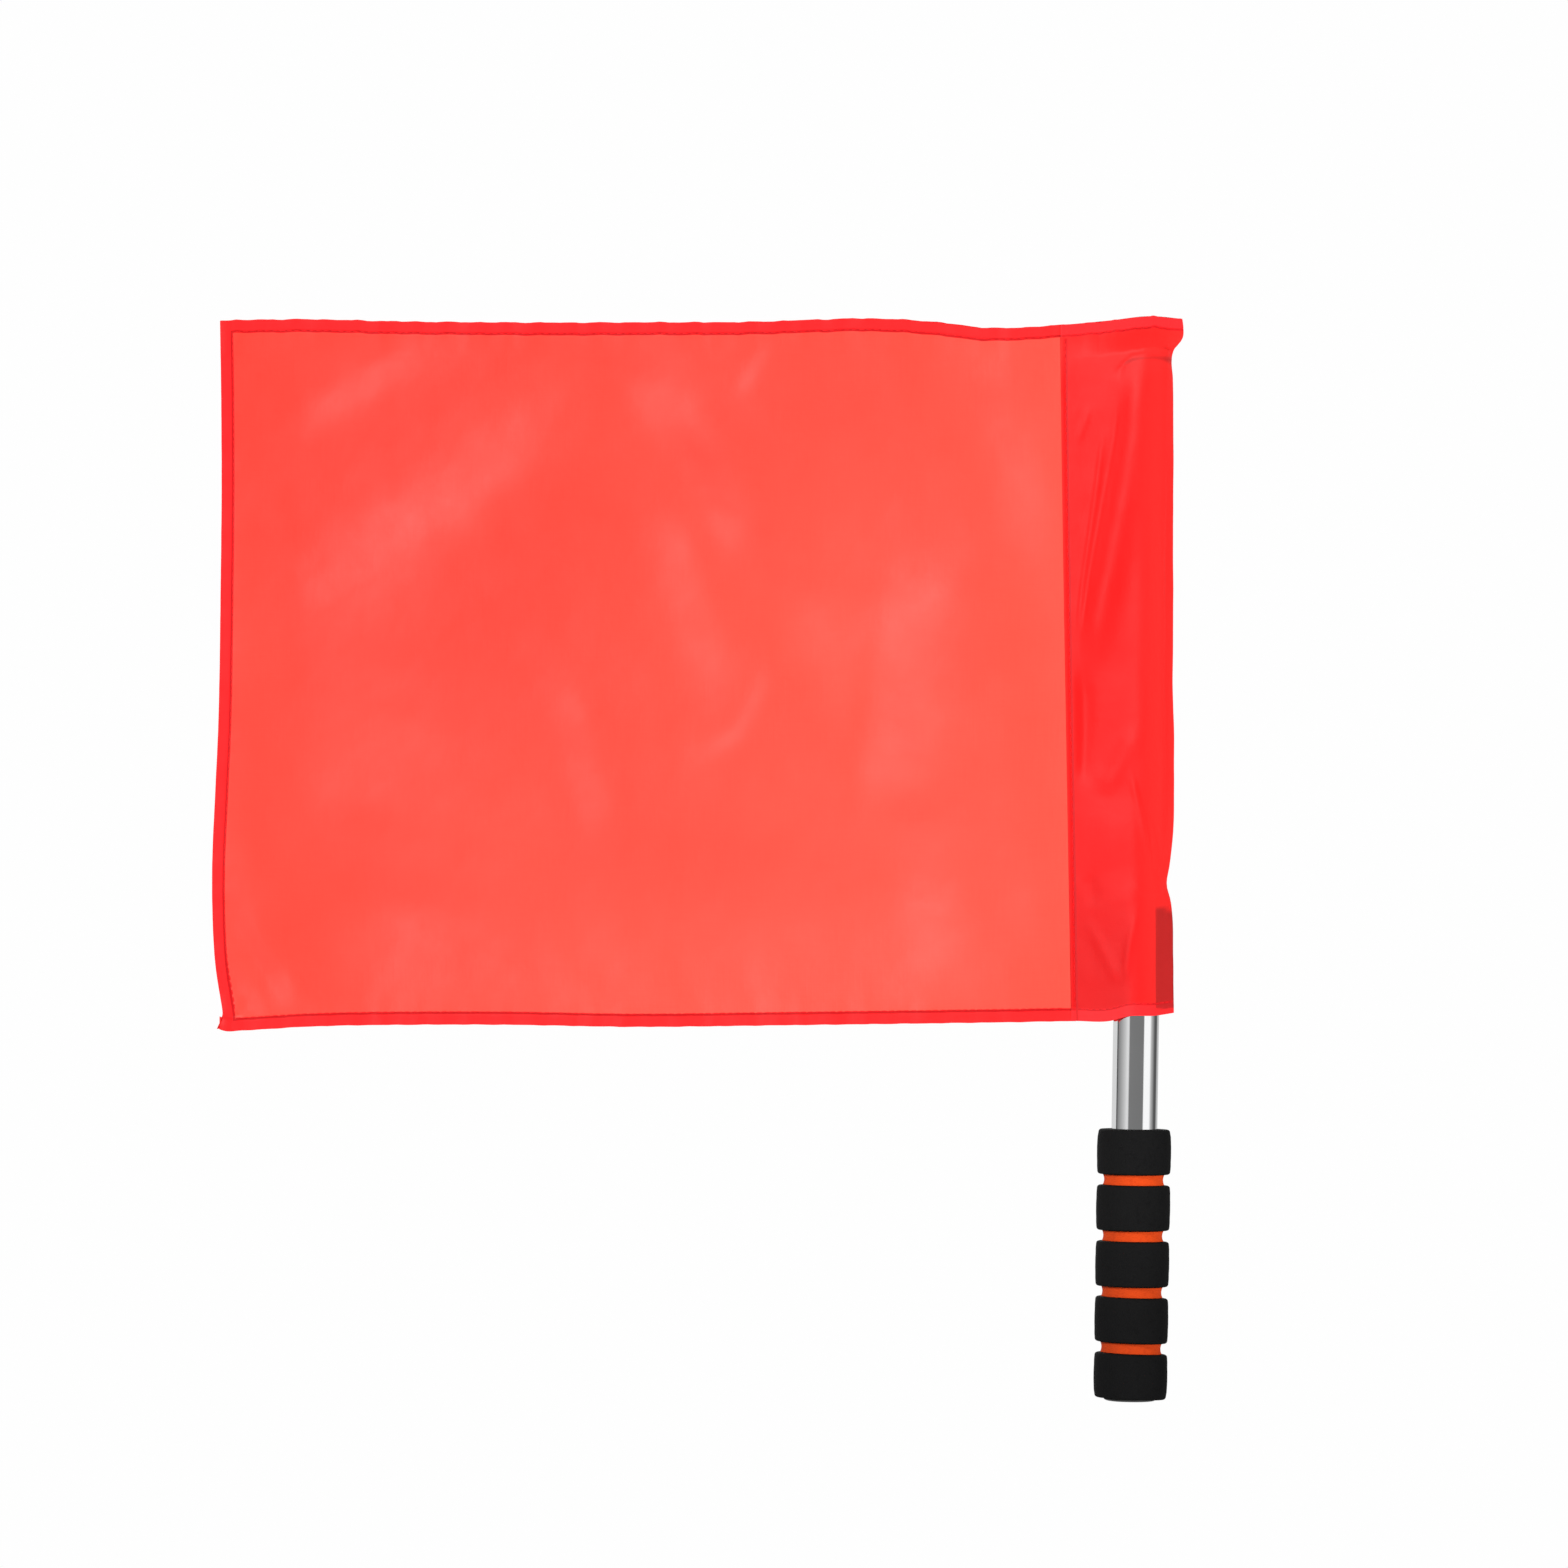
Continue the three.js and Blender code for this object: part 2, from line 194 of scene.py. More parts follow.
# Folds are (points along the fold, width, height, the share of its length in which each end dies
# away), and hills are (middle, size each way, height).
PANEL_FOLDS = [
    ([(-232, 268), (-256, 236), (-288, 211), (-309, 195), (-340, 180), (-372, 164)], 13, 0.15, 0.25),
    ([(-220, 266), (-206, 259), (-190, 246), (-176, 224), (-167, 202), (-163, 182)], 6.5, 0.2, 0.25),
    ([(-196, 212), (-190, 180), (-182, 158), (-173, 138), (-167, 120)], 7, 0.17, 0.25),
    ([(-196, 116), (-180, 108), (-165, 117), (-156, 135), (-151, 154)], 3, 0.14, 0.3),
    ([(-242, 150), (-230, 105), (-218, 62)], 5.5, 0.15, 0.3),
    ([(-148, 208), (-98, 186), (-54, 175)], 8, 0.13, 0.3),
    ((-125, 156), (10, 8), 0.13), ((-135, 168), (6, 7), 0.1),
    ([(-96, 186), (-97, 128), (-101, 80)], 13, 0.22, 0.22),
    ([(-92, 88), (-85, 48), (-80, 10)], 9, 0.16, 0.3),
    ([(-110, 160), (-117, 112), (-120, 74)], 3.5, -0.1, 0.3),
    ((-140, 16), (75, 20), 0.20), ((-182, 62), (26, 20), -0.07),
    ([(-322, 48), (-300, 38), (-264, 26), (-216, 2)], 6, 0.15, 0.25),
    ([(-68, 256), (-46, 229), (-28, 200)], 4.5, 0.17, 0.25),
    ([(-92, 282), (-66, 270), (-38, 254)], 5, 0.15, 0.3),
    ([(-166, 254), (-159, 267), (-151, 280)], 2.6, 0.12, 0.3),
    ([(-375, 50), (-362, 22), (-344, 0)], 3.2, 0.25, 0.3),
    ([(-376, 14), (-366, 8), (-360, -2)], 1.8, 0.2, 0.3),
    ([(-372, 34), (-358, 10)], 2.0, -0.13, 0.3),
    ([(-356, 234), (-322, 260), (-284, 280)], 6, 0.12, 0.3),
    ([(-52, 62), (-36, 36), (-44, 10)], 5, 0.12, 0.3),
    ((-312, 108), (26, 48), 0.07), ((-60, 60), (20, 40), 0.04), ((-232, 222), (17, 13), -0.12),
    ((-108, 240), (42, 26), -0.12), ((-356, 100), (14, 60), -0.08), ((-345, 44), (17, 17), -0.18),
    ((-366, 268), (24, 22), -0.12), ((-40, 112), (10, 40), -0.07),
]


def lightness(u, w):
    """How much each part of the panel turns up and to the left, to where the light comes from."""
    total = 1.9 * relief(u, w, PANEL_FOLDS)
    for share, size, seed in ((0.05, 60, 3), (0.04, 24, 8), (0.03, 11, 5)):
        total = total + share * undulation(u, w, size, seed)
    return total


GRID_U, GRID_W = np.arange(-430.0, 51.0), np.arange(-60.0, 346.0)
LIGHT_U, LIGHT_W = 0.85, -0.53  # the way the light runs across the cloth
LEAST_WAVE = 0.016  # wider swings than about 2 pi over this are damped


def draped(slope):
    """The surface, on the grid, whose slope away from the light is as given, less its widest swings."""
    wave_u = np.fft.fftfreq(len(GRID_U), 1 / (2 * math.pi))[None]
    wave_w = np.fft.fftfreq(len(GRID_W), 1 / (2 * math.pi))[:, None]
    along, aside = LIGHT_U * wave_u + LIGHT_W * wave_w, -LIGHT_W * wave_u + LIGHT_U * wave_w
    soften = -1j * along / (along**2 + 0.15 * aside**2 + LEAST_WAVE**2)
    return np.real(np.fft.ifft2(np.fft.fft2(slope - slope.mean()) * soften))


PANEL_GRID = draped(lightness(*np.meshgrid(GRID_U, GRID_W)))


def panel_height(u, w):
    """How far the panel stands out to the front."""
    a = np.clip(u - GRID_U[0], 0, len(GRID_U) - 2)
    b = np.clip(w - GRID_W[0], 0, len(GRID_W) - 2)
    i, j = a.astype(int), b.astype(int)
    a, b = a - i, b - j
    low = PANEL_GRID[j, i] * (1 - a) + PANEL_GRID[j, i + 1] * a
    high = PANEL_GRID[j + 1, i] * (1 - a) + PANEL_GRID[j + 1, i + 1] * a
    inner = smoothstep(SEAM(w) - u, 0, 30)
    edge = np.minimum.reduce([TOP_EDGE(u) - w, w - LOW_EDGE(u), u - FLY_EDGE(w)])
    near_edge = np.exp(-np.clip(edge, 0, None) / 7)
    along = np.where((TOP_EDGE(u) - w < 14) | (w - LOW_EDGE(u) < 14), u, w)
    pucker = 0.42 * ripple(along, 12.5, 2) + 0.2 * ripple(along, 5.3, 4)
    line = np.exp(-(((edge - THREAD_LINE) / 0.5) ** 2))
    turned = stroke(u, w, [(-379, 0.4), (-374.5, -0.6), (-370, 0.6)], 0.7, 0.8, 0.25)
    turned += stroke(u, w, [(-368, 7), (-369.6, 2)], 0.7, 0.5, 0.3) - hill(u, w, (-378, -4), (2.5, 2), 0.8)
    drape = inner * (low * (1 - b) + high * b)
    return -turned + drape + (0.25 + 0.75 * inner) * near_edge * pucker - 0.16 * line


FRONT_FOLDS = [
    ([(1.5, 272), (0, 240), (-4.5, 213), (-10.5, 184), (-16.5, 156), (-20, 140)], 4.4, 2.6, 0.18),
    ([(-7, 258), (-9.5, 238), (-14.5, 212), (-20, 182), (-24, 152)], 0.9, -0.35, 0.2),
    ([(-13, 246), (-17, 214), (-21, 186), (-25.3, 152)], 0.8, 0.6, 0.2),
    ([(-18.5, 252), (-25.5, 236)], 1.0, 0.4, 0.3),
    ([(12, 271.5), (15, 275), (19, 280)], 1.4, -1.3, 0.2),
    ([(-9, 263), (-5.5, 268), (-2, 270.4), (5, 271.4), (15, 271.4)], 0.8, -0.4, 0.12),
    ([(-23, 146), (-22.5, 122), (-25, 92)], 3.2, -1.5, 0.25),
    ([(-16, 90), (-9, 99), (1, 117)], 3.4, 0.9, 0.3),
    ((-8, 68), (8, 17), 0.8),
    ([(-3.5, 100), (2, 80), (6.5, 56)], 1.0, 0.65, 0.25),
    ([(-0.5, 100), (5, 80), (9.0, 56)], 1.2, -0.5, 0.25),
    ([(10.3, 212), (10, 150), (10, 58)], 1.0, 0.6, 0.2),
    ([(12.8, 232), (12.8, 150), (12.8, 60)], 0.7, -0.35, 0.15),
    ([(13, 50), (5, 47), (-4, 52)], 0.9, 0.4, 0.3),
    ([(14, 46), (6, 43.5), (-1, 46)], 0.9, -0.4, 0.3),
    ([(-21, 58), (-16, 44)], 2.6, -0.4, 0.3),
    ([(-21, 40), (-12, 22), (-6, 8)], 1.6, 0.4, 0.3),
    ([(1.5, 44), (-3.5, 24), (-5.5, 8)], 1.2, 0.5, 0.3),
]


def front_folds(u, w):
    """The creases in the sleeve's front, outwards."""
    calm = smoothstep(w, 4, 16) * smoothstep(280 - w, 0, 8)
    folds = relief(u, w, FRONT_FOLDS)
    return calm * (1.05 * folds + 0.3 * undulation(u * 1.6, w, 62, 12) + 0.08 * undulation(u, w, 17, 4))


BACK_FOLDS = [
    ([(0, 266), (-6, 220), (-18, 170)], 2.2, 1.0, 0.25),
    ([(8, 60), (-4, 80), (-20, 84)], 1.4, 0.7, 0.3),
    ([(-20, 130), (-16, 96), (-22, 60)], 2.4, -0.8, 0.3),
]


def back_folds(u, w):
    """The creases in the sleeve's back, outwards."""
    calm = smoothstep(w, 4, 16) * smoothstep(280 - w, 0, 10)
    folds = relief(u, w, BACK_FOLDS)
    return calm * (folds + 0.35 * undulation(u * 1.5, w, 58, 21) + 0.1 * undulation(u, w, 16, 7))


LOOP_COLUMNS = 132
PINCH = 49.5  # the height at which the sleeve is drawn in, just above its tape
SHUT_LENGTH = 10.4  # how far above the tube its two walls come together
THIN = 0.35  # half the space between its walls where they have come together


def wrap(seam, fold, centre, radius):
    """The path from the seam round one side of the tube to the fold: points by length, and its length."""
    left, right = centre - seam, fold - centre
    radius = min(radius, 0.98 * right)
    to_left, to_right = math.acos(radius / left), math.acos(radius / right)
    straight_left = math.sqrt(left**2 - radius**2)
    straight_right = math.sqrt(right**2 - radius**2)
    turn = math.pi - to_left - to_right
    total = straight_left + radius * turn + straight_right

    def at(s):
        if s < straight_left:
            t = s / straight_left
            end = (centre - radius * math.cos(to_left), radius * math.sin(to_left))
            return seam + t * (end[0] - seam), t * end[1]
        if s < straight_left + radius * turn:
            a = math.pi - to_left - (s - straight_left) / radius
            return centre + radius * math.cos(a), radius * math.sin(a)
        t = (total - s) / straight_right
        end = (centre + radius * math.cos(to_right), radius * math.sin(to_right))
        return fold + t * (end[0] - fold), t * end[1]

    return at, total


def smoothed(line, width):
    """The line with its corners rounded, and its ends held."""
    kernel = np.exp(-0.5 * (np.arange(-12, 13) / width) ** 2)
    kernel /= kernel.sum()
    padded = np.concatenate([2 * line[:1] - line[12:0:-1], line, 2 * line[-1:] - line[-2:-14:-1]])
    return np.stack([np.convolve(padded[:, i], kernel, "valid") for i in range(line.shape[1])], 1)


def loop_section(w):
    """The sleeve's section at height w: from the seam round the back to the fold, and back by the front."""
    seam, fold, centre = float(SEAM(w)), float(FOLD_EDGE(w)) + THIN, float(axis_at(w))
    shut = float(np.clip((w - PLUG_LEVEL - 0.3) / SHUT_LENGTH, 0, 1))
    shut = 0.4 * float(smoothstep(shut)) + 0.6 * shut
    painted_shade_behind = 1 - float(smoothstep(w, TAPE_TOP, 60))
    pinch = math.exp(-(((w - PINCH) / 5) ** 2))
    (back, back_length), (front, front_length) = (
        wrap(seam, fold, centre, (TUBE_RADIUS + room + 1.3 * painted_shade_behind) * (1 - shut) + THIN * shut)
        for room in (0.55, 0.45)
    )
    total = back_length + front_length
    points = []
    for s in np.linspace(0, total, LOOP_COLUMNS):
        if s <= back_length:
            u, v = back(s)
        else:
            u, v = front(total - s)
            v = -v
        points.append((u, v))
    return smoothed(np.array(points), 1.5 + 1.0 * pinch)


def loop_surface(w_rows):
    """All sections of the sleeve, pushed out by its creases. Gives points (u, v) and outward normals."""
    sections = np.array([loop_section(w) for w in w_rows])
    ahead = np.roll(sections, -1, 1) - np.roll(sections, 1, 1)
    ahead[:, 0] = sections[:, 1] - sections[:, 0]
    ahead[:, -1] = sections[:, -1] - sections[:, -2]
    ahead /= np.linalg.norm(ahead, axis=2, keepdims=True)
    normals = np.stack([-ahead[..., 1], ahead[..., 0]], -1)
    u = sections[..., 0]
    w = np.repeat(np.array(w_rows)[:, None], LOOP_COLUMNS, 1)
    place = np.linspace(0, 1, LOOP_COLUMNS)[None]
    is_front = smoothstep(place, 0.47, 0.56)
    hold = smoothstep(place, 0.0, 0.06) * smoothstep(1 - place, 0.0, 0.06)
    push = hold * (is_front * front_folds(u, w) + (1 - is_front) * back_folds(u, w))
    open_part = smoothstep(PLUG_LEVEL - w, -8, 0)
    clear = np.hypot(u - axis_at(w), sections[..., 1])
    least = (TUBE_RADIUS + 0.35 - clear) * open_part
    push = np.where(w < PLUG_LEVEL + 1, np.maximum(push, least), push)
    return sections + push[..., None] * normals, normals


# ---- Meshes ----

def make_object(name, points, faces, smooth=True):
    """A mesh object from points in the row frame, in millimetres."""
    mesh = bpy.data.meshes.new(name)
    mesh.from_pydata((np.asarray(points) / 1000).tolist(), [], faces)
    mesh.validate()
    if smooth:
        mesh.shade_smooth()
    made = bpy.data.objects.new(name, mesh)
    bpy.context.scene.collection.objects.link(made)
    return made


def grid_faces(rows, columns, first=0, flip=False, wrap_rows=False, wrap_columns=False):
    """The quads of a grid of points, whose first point has the number given."""
    down, across = np.arange(rows - (not wrap_rows)), np.arange(columns - (not wrap_columns))
    i, j = np.meshgrid(down, across, indexing="ij")
    k, m = (i + 1) % rows, (j + 1) % columns
    quads = np.stack([i * columns + j, i * columns + m, k * columns + m, k * columns + j], -1).reshape(-1, 4)
    if flip:
        quads = quads[:, ::-1]
    return (quads + first).tolist()


class Sheet:
    """Collects grids of points with their attributes into one mesh."""

    def __init__(self):
        self.points, self.faces, self.uv, self.count = [], [], [], 0
        self.values = {"edge_mm": [], "seam_mm": [], "painted_shade_behind": []}

    def add(self, points, uv, edge, seam, painted_shade_behind=0, flip=False):
        rows, columns = points.shape[:2]
        self.points.append(to_row(points).reshape(-1, 3))
        self.faces += grid_faces(rows, columns, self.count, flip)
        self.uv.append(np.broadcast_to(uv, (rows, columns, 2)).reshape(-1, 2))
        for target, value in zip(self.values.values(), (edge, seam, painted_shade_behind)):
            target.append(np.broadcast_to(value, (rows, columns)).reshape(-1))
        self.count += rows * columns

    def build(self, name):
        made = make_object(name, np.concatenate(self.points), self.faces)
        mesh = made.data
        for title, values in self.values.items():
            attribute = mesh.attributes.new(title, "FLOAT", "POINT")
            attribute.data.foreach_set("value", np.concatenate(values).astype(np.float32))
        flat = np.concatenate(self.uv) / 1000
        layer = mesh.uv_layers.new(name="cloth")
        vertex = np.zeros(len(mesh.loops), int)
        mesh.loops.foreach_get("vertex_index", vertex)
        layer.data.foreach_set("uv", flat[vertex].astype(np.float32).ravel())
        return made


# ---- The flag's cloth ----

# How far the rows of points near an edge, and near the seam, are from it.
NEAR = np.array([0, 0.3, 0.8, 1.5, 2.4, 3.2, 3.7, 4.05, 4.35, 4.65, 4.95, 5.3, 5.8, 6.6, 7.8, 9.2])
SEAM_NEAR = np.array([14, 10.5, 8, 6, 4.4, 3.2, 2.4, 1.7, 1.0, 0.5, 0])
RIM_ROWS = 12  # extra rows where the sleeve bends over the tube's end


def spread(count):
    """Shares between 0 and 1, without the two ends."""
    return np.linspace(0, 1, count + 2)[1:-1]


def rows_between(low, high, count):
    """Heights from low to high, close together near both edges and at the tube's end. They may be arrays."""
    low, high = np.asarray(low, float)[..., None], np.asarray(high, float)[..., None]
    start, end = low + NEAR[-1], high - NEAR[-1]
    shares = np.sort(np.concatenate([spread(count - RIM_ROWS), 0.955 + 0.038 * spread(RIM_ROWS)]))
    middle = start + (end - start) * shares
    return np.concatenate([low + NEAR, middle, high - NEAR[::-1]], -1)


def fold_profile(layer):
    """A hem folded back twice: (inwards from the edge, backwards) points from the edge to the raw edge."""
    far = 2 * layer
    points = [(0, 0), (-0.14, 0.25 * far), (-0.2, 0.5 * far), (-0.14, 0.8 * far), (0.05, 0.97 * far)]
    points += [(d, far) for d in (0.35, 1.2, 2.2, 3.2, 4.0, 4.6)]
    points += [(HEM - 0.18, far), (HEM, far - 0.5 * layer), (HEM - 0.18, far - layer)]
    points += [(d, far - layer) for d in (4.2, 3.0, 1.8, 0.9)]
    return points


def flat_place(along, w):
    """Where points lie on the flat cloth, in millimetres along it and up it."""
    return np.stack(np.broadcast_arrays(along, w + 8), -1)


cloth = Sheet()
MIDDLE_ROWS, MIDDLE_COLUMNS = 138, 158
ROW_COUNT = len(NEAR) * 2 + MIDDLE_ROWS
# Where the panel, the sleeve and the flap start along the flat cloth.
PANEL_FLAT, SLEEVE_FLAT, FLAP_FLAT = 383, 355, 450

# The panel, from the fly edge to the seam.
nominal = rows_between(-3.5, 287, MIDDLE_ROWS)
fly, seam_line = FLY_EDGE(nominal), SEAM(nominal)
room = seam_line - SEAM_NEAR[0] - fly - NEAR[-1]
inside = fly[:, None] + NEAR[-1] + room[:, None] * spread(MIDDLE_COLUMNS)
panel_u = np.concatenate([fly[:, None] + NEAR, inside, seam_line[:, None] - SEAM_NEAR], 1)
scallop = 0.26 * ripple(panel_u[0], 12.8, 6) + 0.08 * ripple(panel_u[0], 5.1, 3)
low_edge = LOW_EDGE(panel_u.mean(0)) + 0.12 * ripple(panel_u[0], 11, 9)
top_edge = TOP_EDGE(panel_u.mean(0)) + scallop
panel_w = rows_between(low_edge, top_edge, MIDDLE_ROWS).T
panel_v = -panel_height(panel_u, panel_w)
panel = np.stack([panel_u, panel_v, panel_w], -1)
panel_edge = np.minimum.reduce([panel_w - low_edge, top_edge - panel_w, panel_u - fly[:, None]])
panel_uv = flat_place(panel_u + PANEL_FLAT, panel_w)
cloth.add(panel, panel_uv, panel_edge, panel_u - seam_line[:, None])

# The sleeve's two walls, one sheet that goes round the tube, with a flap that overlaps the panel's front.
loop_line, loop_out = loop_surface(nominal)
loop_u, head_u = loop_line[..., 0], loop_line[-1, :, 0]
mouth_w = LOW_EDGE(loop_u[0])
head_w = TOP_EDGE(head_u) + 0.34 * ripple(head_u, 9, 3) + 0.14 * ripple(head_u, 4, 5)
loop_w = rows_between(mouth_w, head_w, MIDDLE_ROWS).T
round_share = np.linspace(0, 1, LOOP_COLUMNS)
front_side = smoothstep(round_share, 0.45, 0.6)
join = smoothstep(1 - round_share, 0.0, 0.1)
loop_v = loop_line[..., 1] - 0.3 * (1 - join) * front_side
loop = np.stack([loop_u, loop_v, loop_w], -1)
loop[:, 0] = panel[:, -1]
loop_edge = np.minimum(loop_w - mouth_w, head_w - loop_w)
MEASURED_ROW = 80  # the row, about halfway up, whose girth stands for them all
round_way = walked(loop_line[MEASURED_ROW])
loop_uv = flat_place(round_way + SLEEVE_FLAT, loop_w)
seam_side = np.minimum(loop_u - seam_line[:, None], 40) * 0.5 + 2.0
# Painted shade: the sleeve's colour is darkened where the loop tape, and the rim of the tube's top plug,
# stand behind its front and keep light from coming through the cloth.
on_tape = smoothstep(loop_u, 7.4, 8.0)
on_tape = on_tape * smoothstep(TAPE_TOP + 0.5 - loop_w, 0, 0.8) * smoothstep(loop_w, 2.5, 3.2)
rim = curve([(-7, 267.6), (-5.8, 269.0), (-2.5, 270.9), (3.7, 271.9), (9, 272.0), (14.5, 271.3)])
over_rim = np.exp(-(((loop_w - rim(loop_u)) / 1.3) ** 2)) * smoothstep(loop_u, -7.5, -4)
cloth.add(loop, loop_uv, loop_edge, seam_side, painted_shade_behind=np.maximum(on_tape, 0.75 * over_rim))

# The flap's section: (beyond the seam, out to the front) points.
FLAP = [
    (0, 0), (0.5, 0.04), (1.0, 0.06), (1.5, 0.06), (1.85, 0.0), (2.05, -0.12), (1.85, -0.22), (1.2, -0.2),
    (0.4, -0.16),
]
last = loop[:, -1]
flap = np.stack([last - np.array([d, lift, 0]) for d, lift in FLAP], 1)
flap[..., 1] = np.minimum(flap[..., 1], -panel_height(flap[..., 0], flap[..., 2]) - 0.1)
flap[:, 0] = last
flap_uv = flat_place(FLAP_FLAT + np.linspace(0, 5, flap.shape[1]), flap[..., 2])
flap_edge = np.minimum(flap[..., 2] - loop_w[:1, -1], loop_w[-1:, -1] - flap[..., 2])
cloth.add(flap, flap_uv, flap_edge, 1.0)


# The hems: the cloth goes over the edge and is folded under at the back.
def hem(along, inward, base, flat_start, flip=False):
    """A folded hem behind an edge. along gives (u, v, w) at a depth inwards from the edge, inward is the way
    there, and base is the space left behind the cloth."""
    profile = fold_profile(0.34)
    strips = []
    for d, back in profile:
        at = along(max(d, 0.0)) + np.array(inward) * min(d, 0.0)
        at[:, 1] += back + base * min(1, back / 0.3)
        strips.append(at)
    grid = np.stack(strips, 1)
    uv = np.stack(np.broadcast_arrays(walked(grid[:, 0])[:, None], flat_start + walked(profile)), -1)
    cloth.add(grid, uv, 1.0, -3.0, flip=flip)


top_u = np.concatenate([panel_u[-1], np.linspace(SEAM(285) + 1, head_u.max(), 34)])
top_base = 0.1 + 0.75 * smoothstep(top_u, -31, -26)


def along_top(d):
    w = TOP_EDGE(top_u) + np.concatenate([scallop, 0 * top_u[len(scallop):]]) - d
    v = -panel_height(np.minimum(top_u, SEAM(w)), w)
    return np.stack([top_u, v, w], -1)


def along_low(d):
    u, w = panel_u[0], low_edge + d
    return np.stack([u, -panel_height(u, w), w], -1)


def along_fly(d):
    w = panel_w[:, 0]
    u = FLY_EDGE(w) + d
    return np.stack([u, -panel_height(u, w), w], -1)


hem(along_top, (0, 0, -1), top_base, 300)
hem(along_low, (0, 0, 1), 0.1, 310, flip=True)
hem(along_fly, (1, 0, 0), 0.9, 320)

# The sleeve's mouth is folded inwards.
profile = fold_profile(0.2)
strips = []
for d, back in profile:
    w = mouth_w + d
    rows = [min(np.searchsorted(loop_w[:, j], w[j]), ROW_COUNT - 1) for j in range(LOOP_COLUMNS)]
    line = loop[rows, np.arange(LOOP_COLUMNS), :2] - loop_out[0] * back
    strips.append(np.column_stack([line, w]))
mouth_hem = np.stack(strips, 1)
mouth_flat = 330 + 0.6 * np.arange(len(profile))
mouth_uv = np.stack(np.broadcast_arrays(round_way[:, None] + SLEEVE_FLAT, mouth_flat), -1)
cloth.add(mouth_hem, mouth_uv, 1.0, 3.0, flip=True)

flag_cloth = cloth.build("flag_cloth")


# ---- Stitches ----

STITCH, STITCH_GAP, THREAD_WIDTH, THREAD_HEIGHT = 2.3, 0.75, 0.42, 0.26
STEP = 0.8  # between the points of a line of stitches


def sew(path, name):
    """A row of separate stitches along a path of (u, v, w) points that lies on the cloth's front."""
    points, faces = [], []
    ring = np.array([[math.cos(a), math.sin(a)] for a in np.linspace(0, 2 * math.pi, 7)[:-1]])
    stations = [(-0.5, 0.0), (-0.42, 0.75), (-0.15, 1.0), (0.15, 1.0), (0.42, 0.75), (0.5, 0.0)]
    steps = walked(path)

    def at(s):
        return np.array([np.interp(s, steps, path[:, i]) for i in range(3)])

    s = 0.5 * STITCH + 0.5
    while s + STITCH / 2 < steps[-1]:
        ahead = at(s + 0.45 * STITCH) - at(s - 0.45 * STITCH)
        ahead /= np.linalg.norm(ahead)
        out = np.array([0, -1.0, 0])
        out -= ahead * out.dot(ahead)
        out /= np.linalg.norm(out)
        side = np.cross(ahead, out)
        first = len(points)
        for t, size in stations:
            middle = at(s + t * STITCH) + out * (THREAD_HEIGHT * 0.55 * size - 0.12 * (size < 0.1))
            if size == 0:
                points.append(middle)
                continue
            for a, b in ring:
                rim_point = side * a * THREAD_WIDTH * size / 2 + out * b * THREAD_HEIGHT * size / 2
                points.append(middle + rim_point)
        faces += [(first, first + 1 + (k + 1) % 6, first + 1 + k) for k in range(6)]
        for r in range(3):
            a, b = first + 1 + 6 * r, first + 7 + 6 * r
            faces += [(a + k, a + (k + 1) % 6, b + (k + 1) % 6, b + k) for k in range(6)]
        end, tip = first + 19, first + 25
        faces += [(tip, end + k, end + (k + 1) % 6) for k in range(6)]
        s += STITCH + STITCH_GAP
    return make_object(name, to_row(np.array(points)), faces)


LIFT = 0.02  # of the stitches' line above the cloth


def front_of_panel(u, w):
    return np.stack([u, -panel_height(u, w) - LIFT, w], -1)


def front_of_sleeve(u, w, row):
    """Points on the front of the sleeve, from its section at a row."""
    front = loop[row, LOOP_COLUMNS * 52 // 100:][::-1]
    return np.stack([u, np.interp(u, front[:, 0], front[:, 1]) - LIFT, w], -1)


top_run, low_run = np.arange(-373.5, -31.5, STEP), np.arange(-373.5, -28.0, STEP)
fly_run, seam_run = np.arange(2.0, 282, STEP), np.arange(3.0, 282, STEP)
head_run, mouth_run = np.arange(-28, 17.5, STEP), np.arange(-23.5, 14.5, STEP)
low_row = int(np.searchsorted(NEAR, THREAD_LINE))
high_row = ROW_COUNT - 1 - low_row
seam_path = np.stack([
    np.interp(seam_run, last[:, 2], last[:, 0]) - 0.3, np.interp(seam_run, last[:, 2], last[:, 1]) - 0.08,
    seam_run,
], -1)
head_path = front_of_sleeve(head_run, TOP_EDGE(head_run) - THREAD_LINE, high_row)
mouth_path = front_of_sleeve(mouth_run, LOW_EDGE(mouth_run) + THREAD_LINE + 0.3, low_row)
top_stitches = sew(front_of_panel(top_run, TOP_EDGE(top_run) - THREAD_LINE), "top_stitches")
low_stitches = sew(front_of_panel(low_run, LOW_EDGE(low_run) + THREAD_LINE + 0.6), "low_stitches")
fly_stitches = sew(front_of_panel(FLY_EDGE(fly_run) + THREAD_LINE + 0.4, fly_run), "fly_stitches")
seam_stitches = sew(seam_path, "seam_stitches")
sleeve_top_stitches = sew(head_path, "sleeve_top_stitches")
mouth_stitches = sew(mouth_path, "mouth_stitches")


# ---- The tube, its plugs and the grip ----

def lathe(name, profile, segments, shape=None):
    """A solid turned about the tube's axis from a closed profile of (radius, height) points."""
    profile = np.array(profile, float)
    angle = np.linspace(0, 2 * math.pi, segments + 1)[:-1]
    x = profile[:, :1] * np.cos(angle)
    y = profile[:, :1] * np.sin(angle)
    z = np.repeat(profile[:, 1:], segments, 1)
    points = np.stack([x, y, z], -1)
    if shape is not None:
        points = shape(points)
    on_axis = bool((profile[:, 0] < 1e-6).any())
    faces = grid_faces(len(profile), segments, wrap_rows=not on_axis, wrap_columns=True)
    made = make_object(name, points.reshape(-1, 3), faces)
    if on_axis:
        weld(made)
    return made


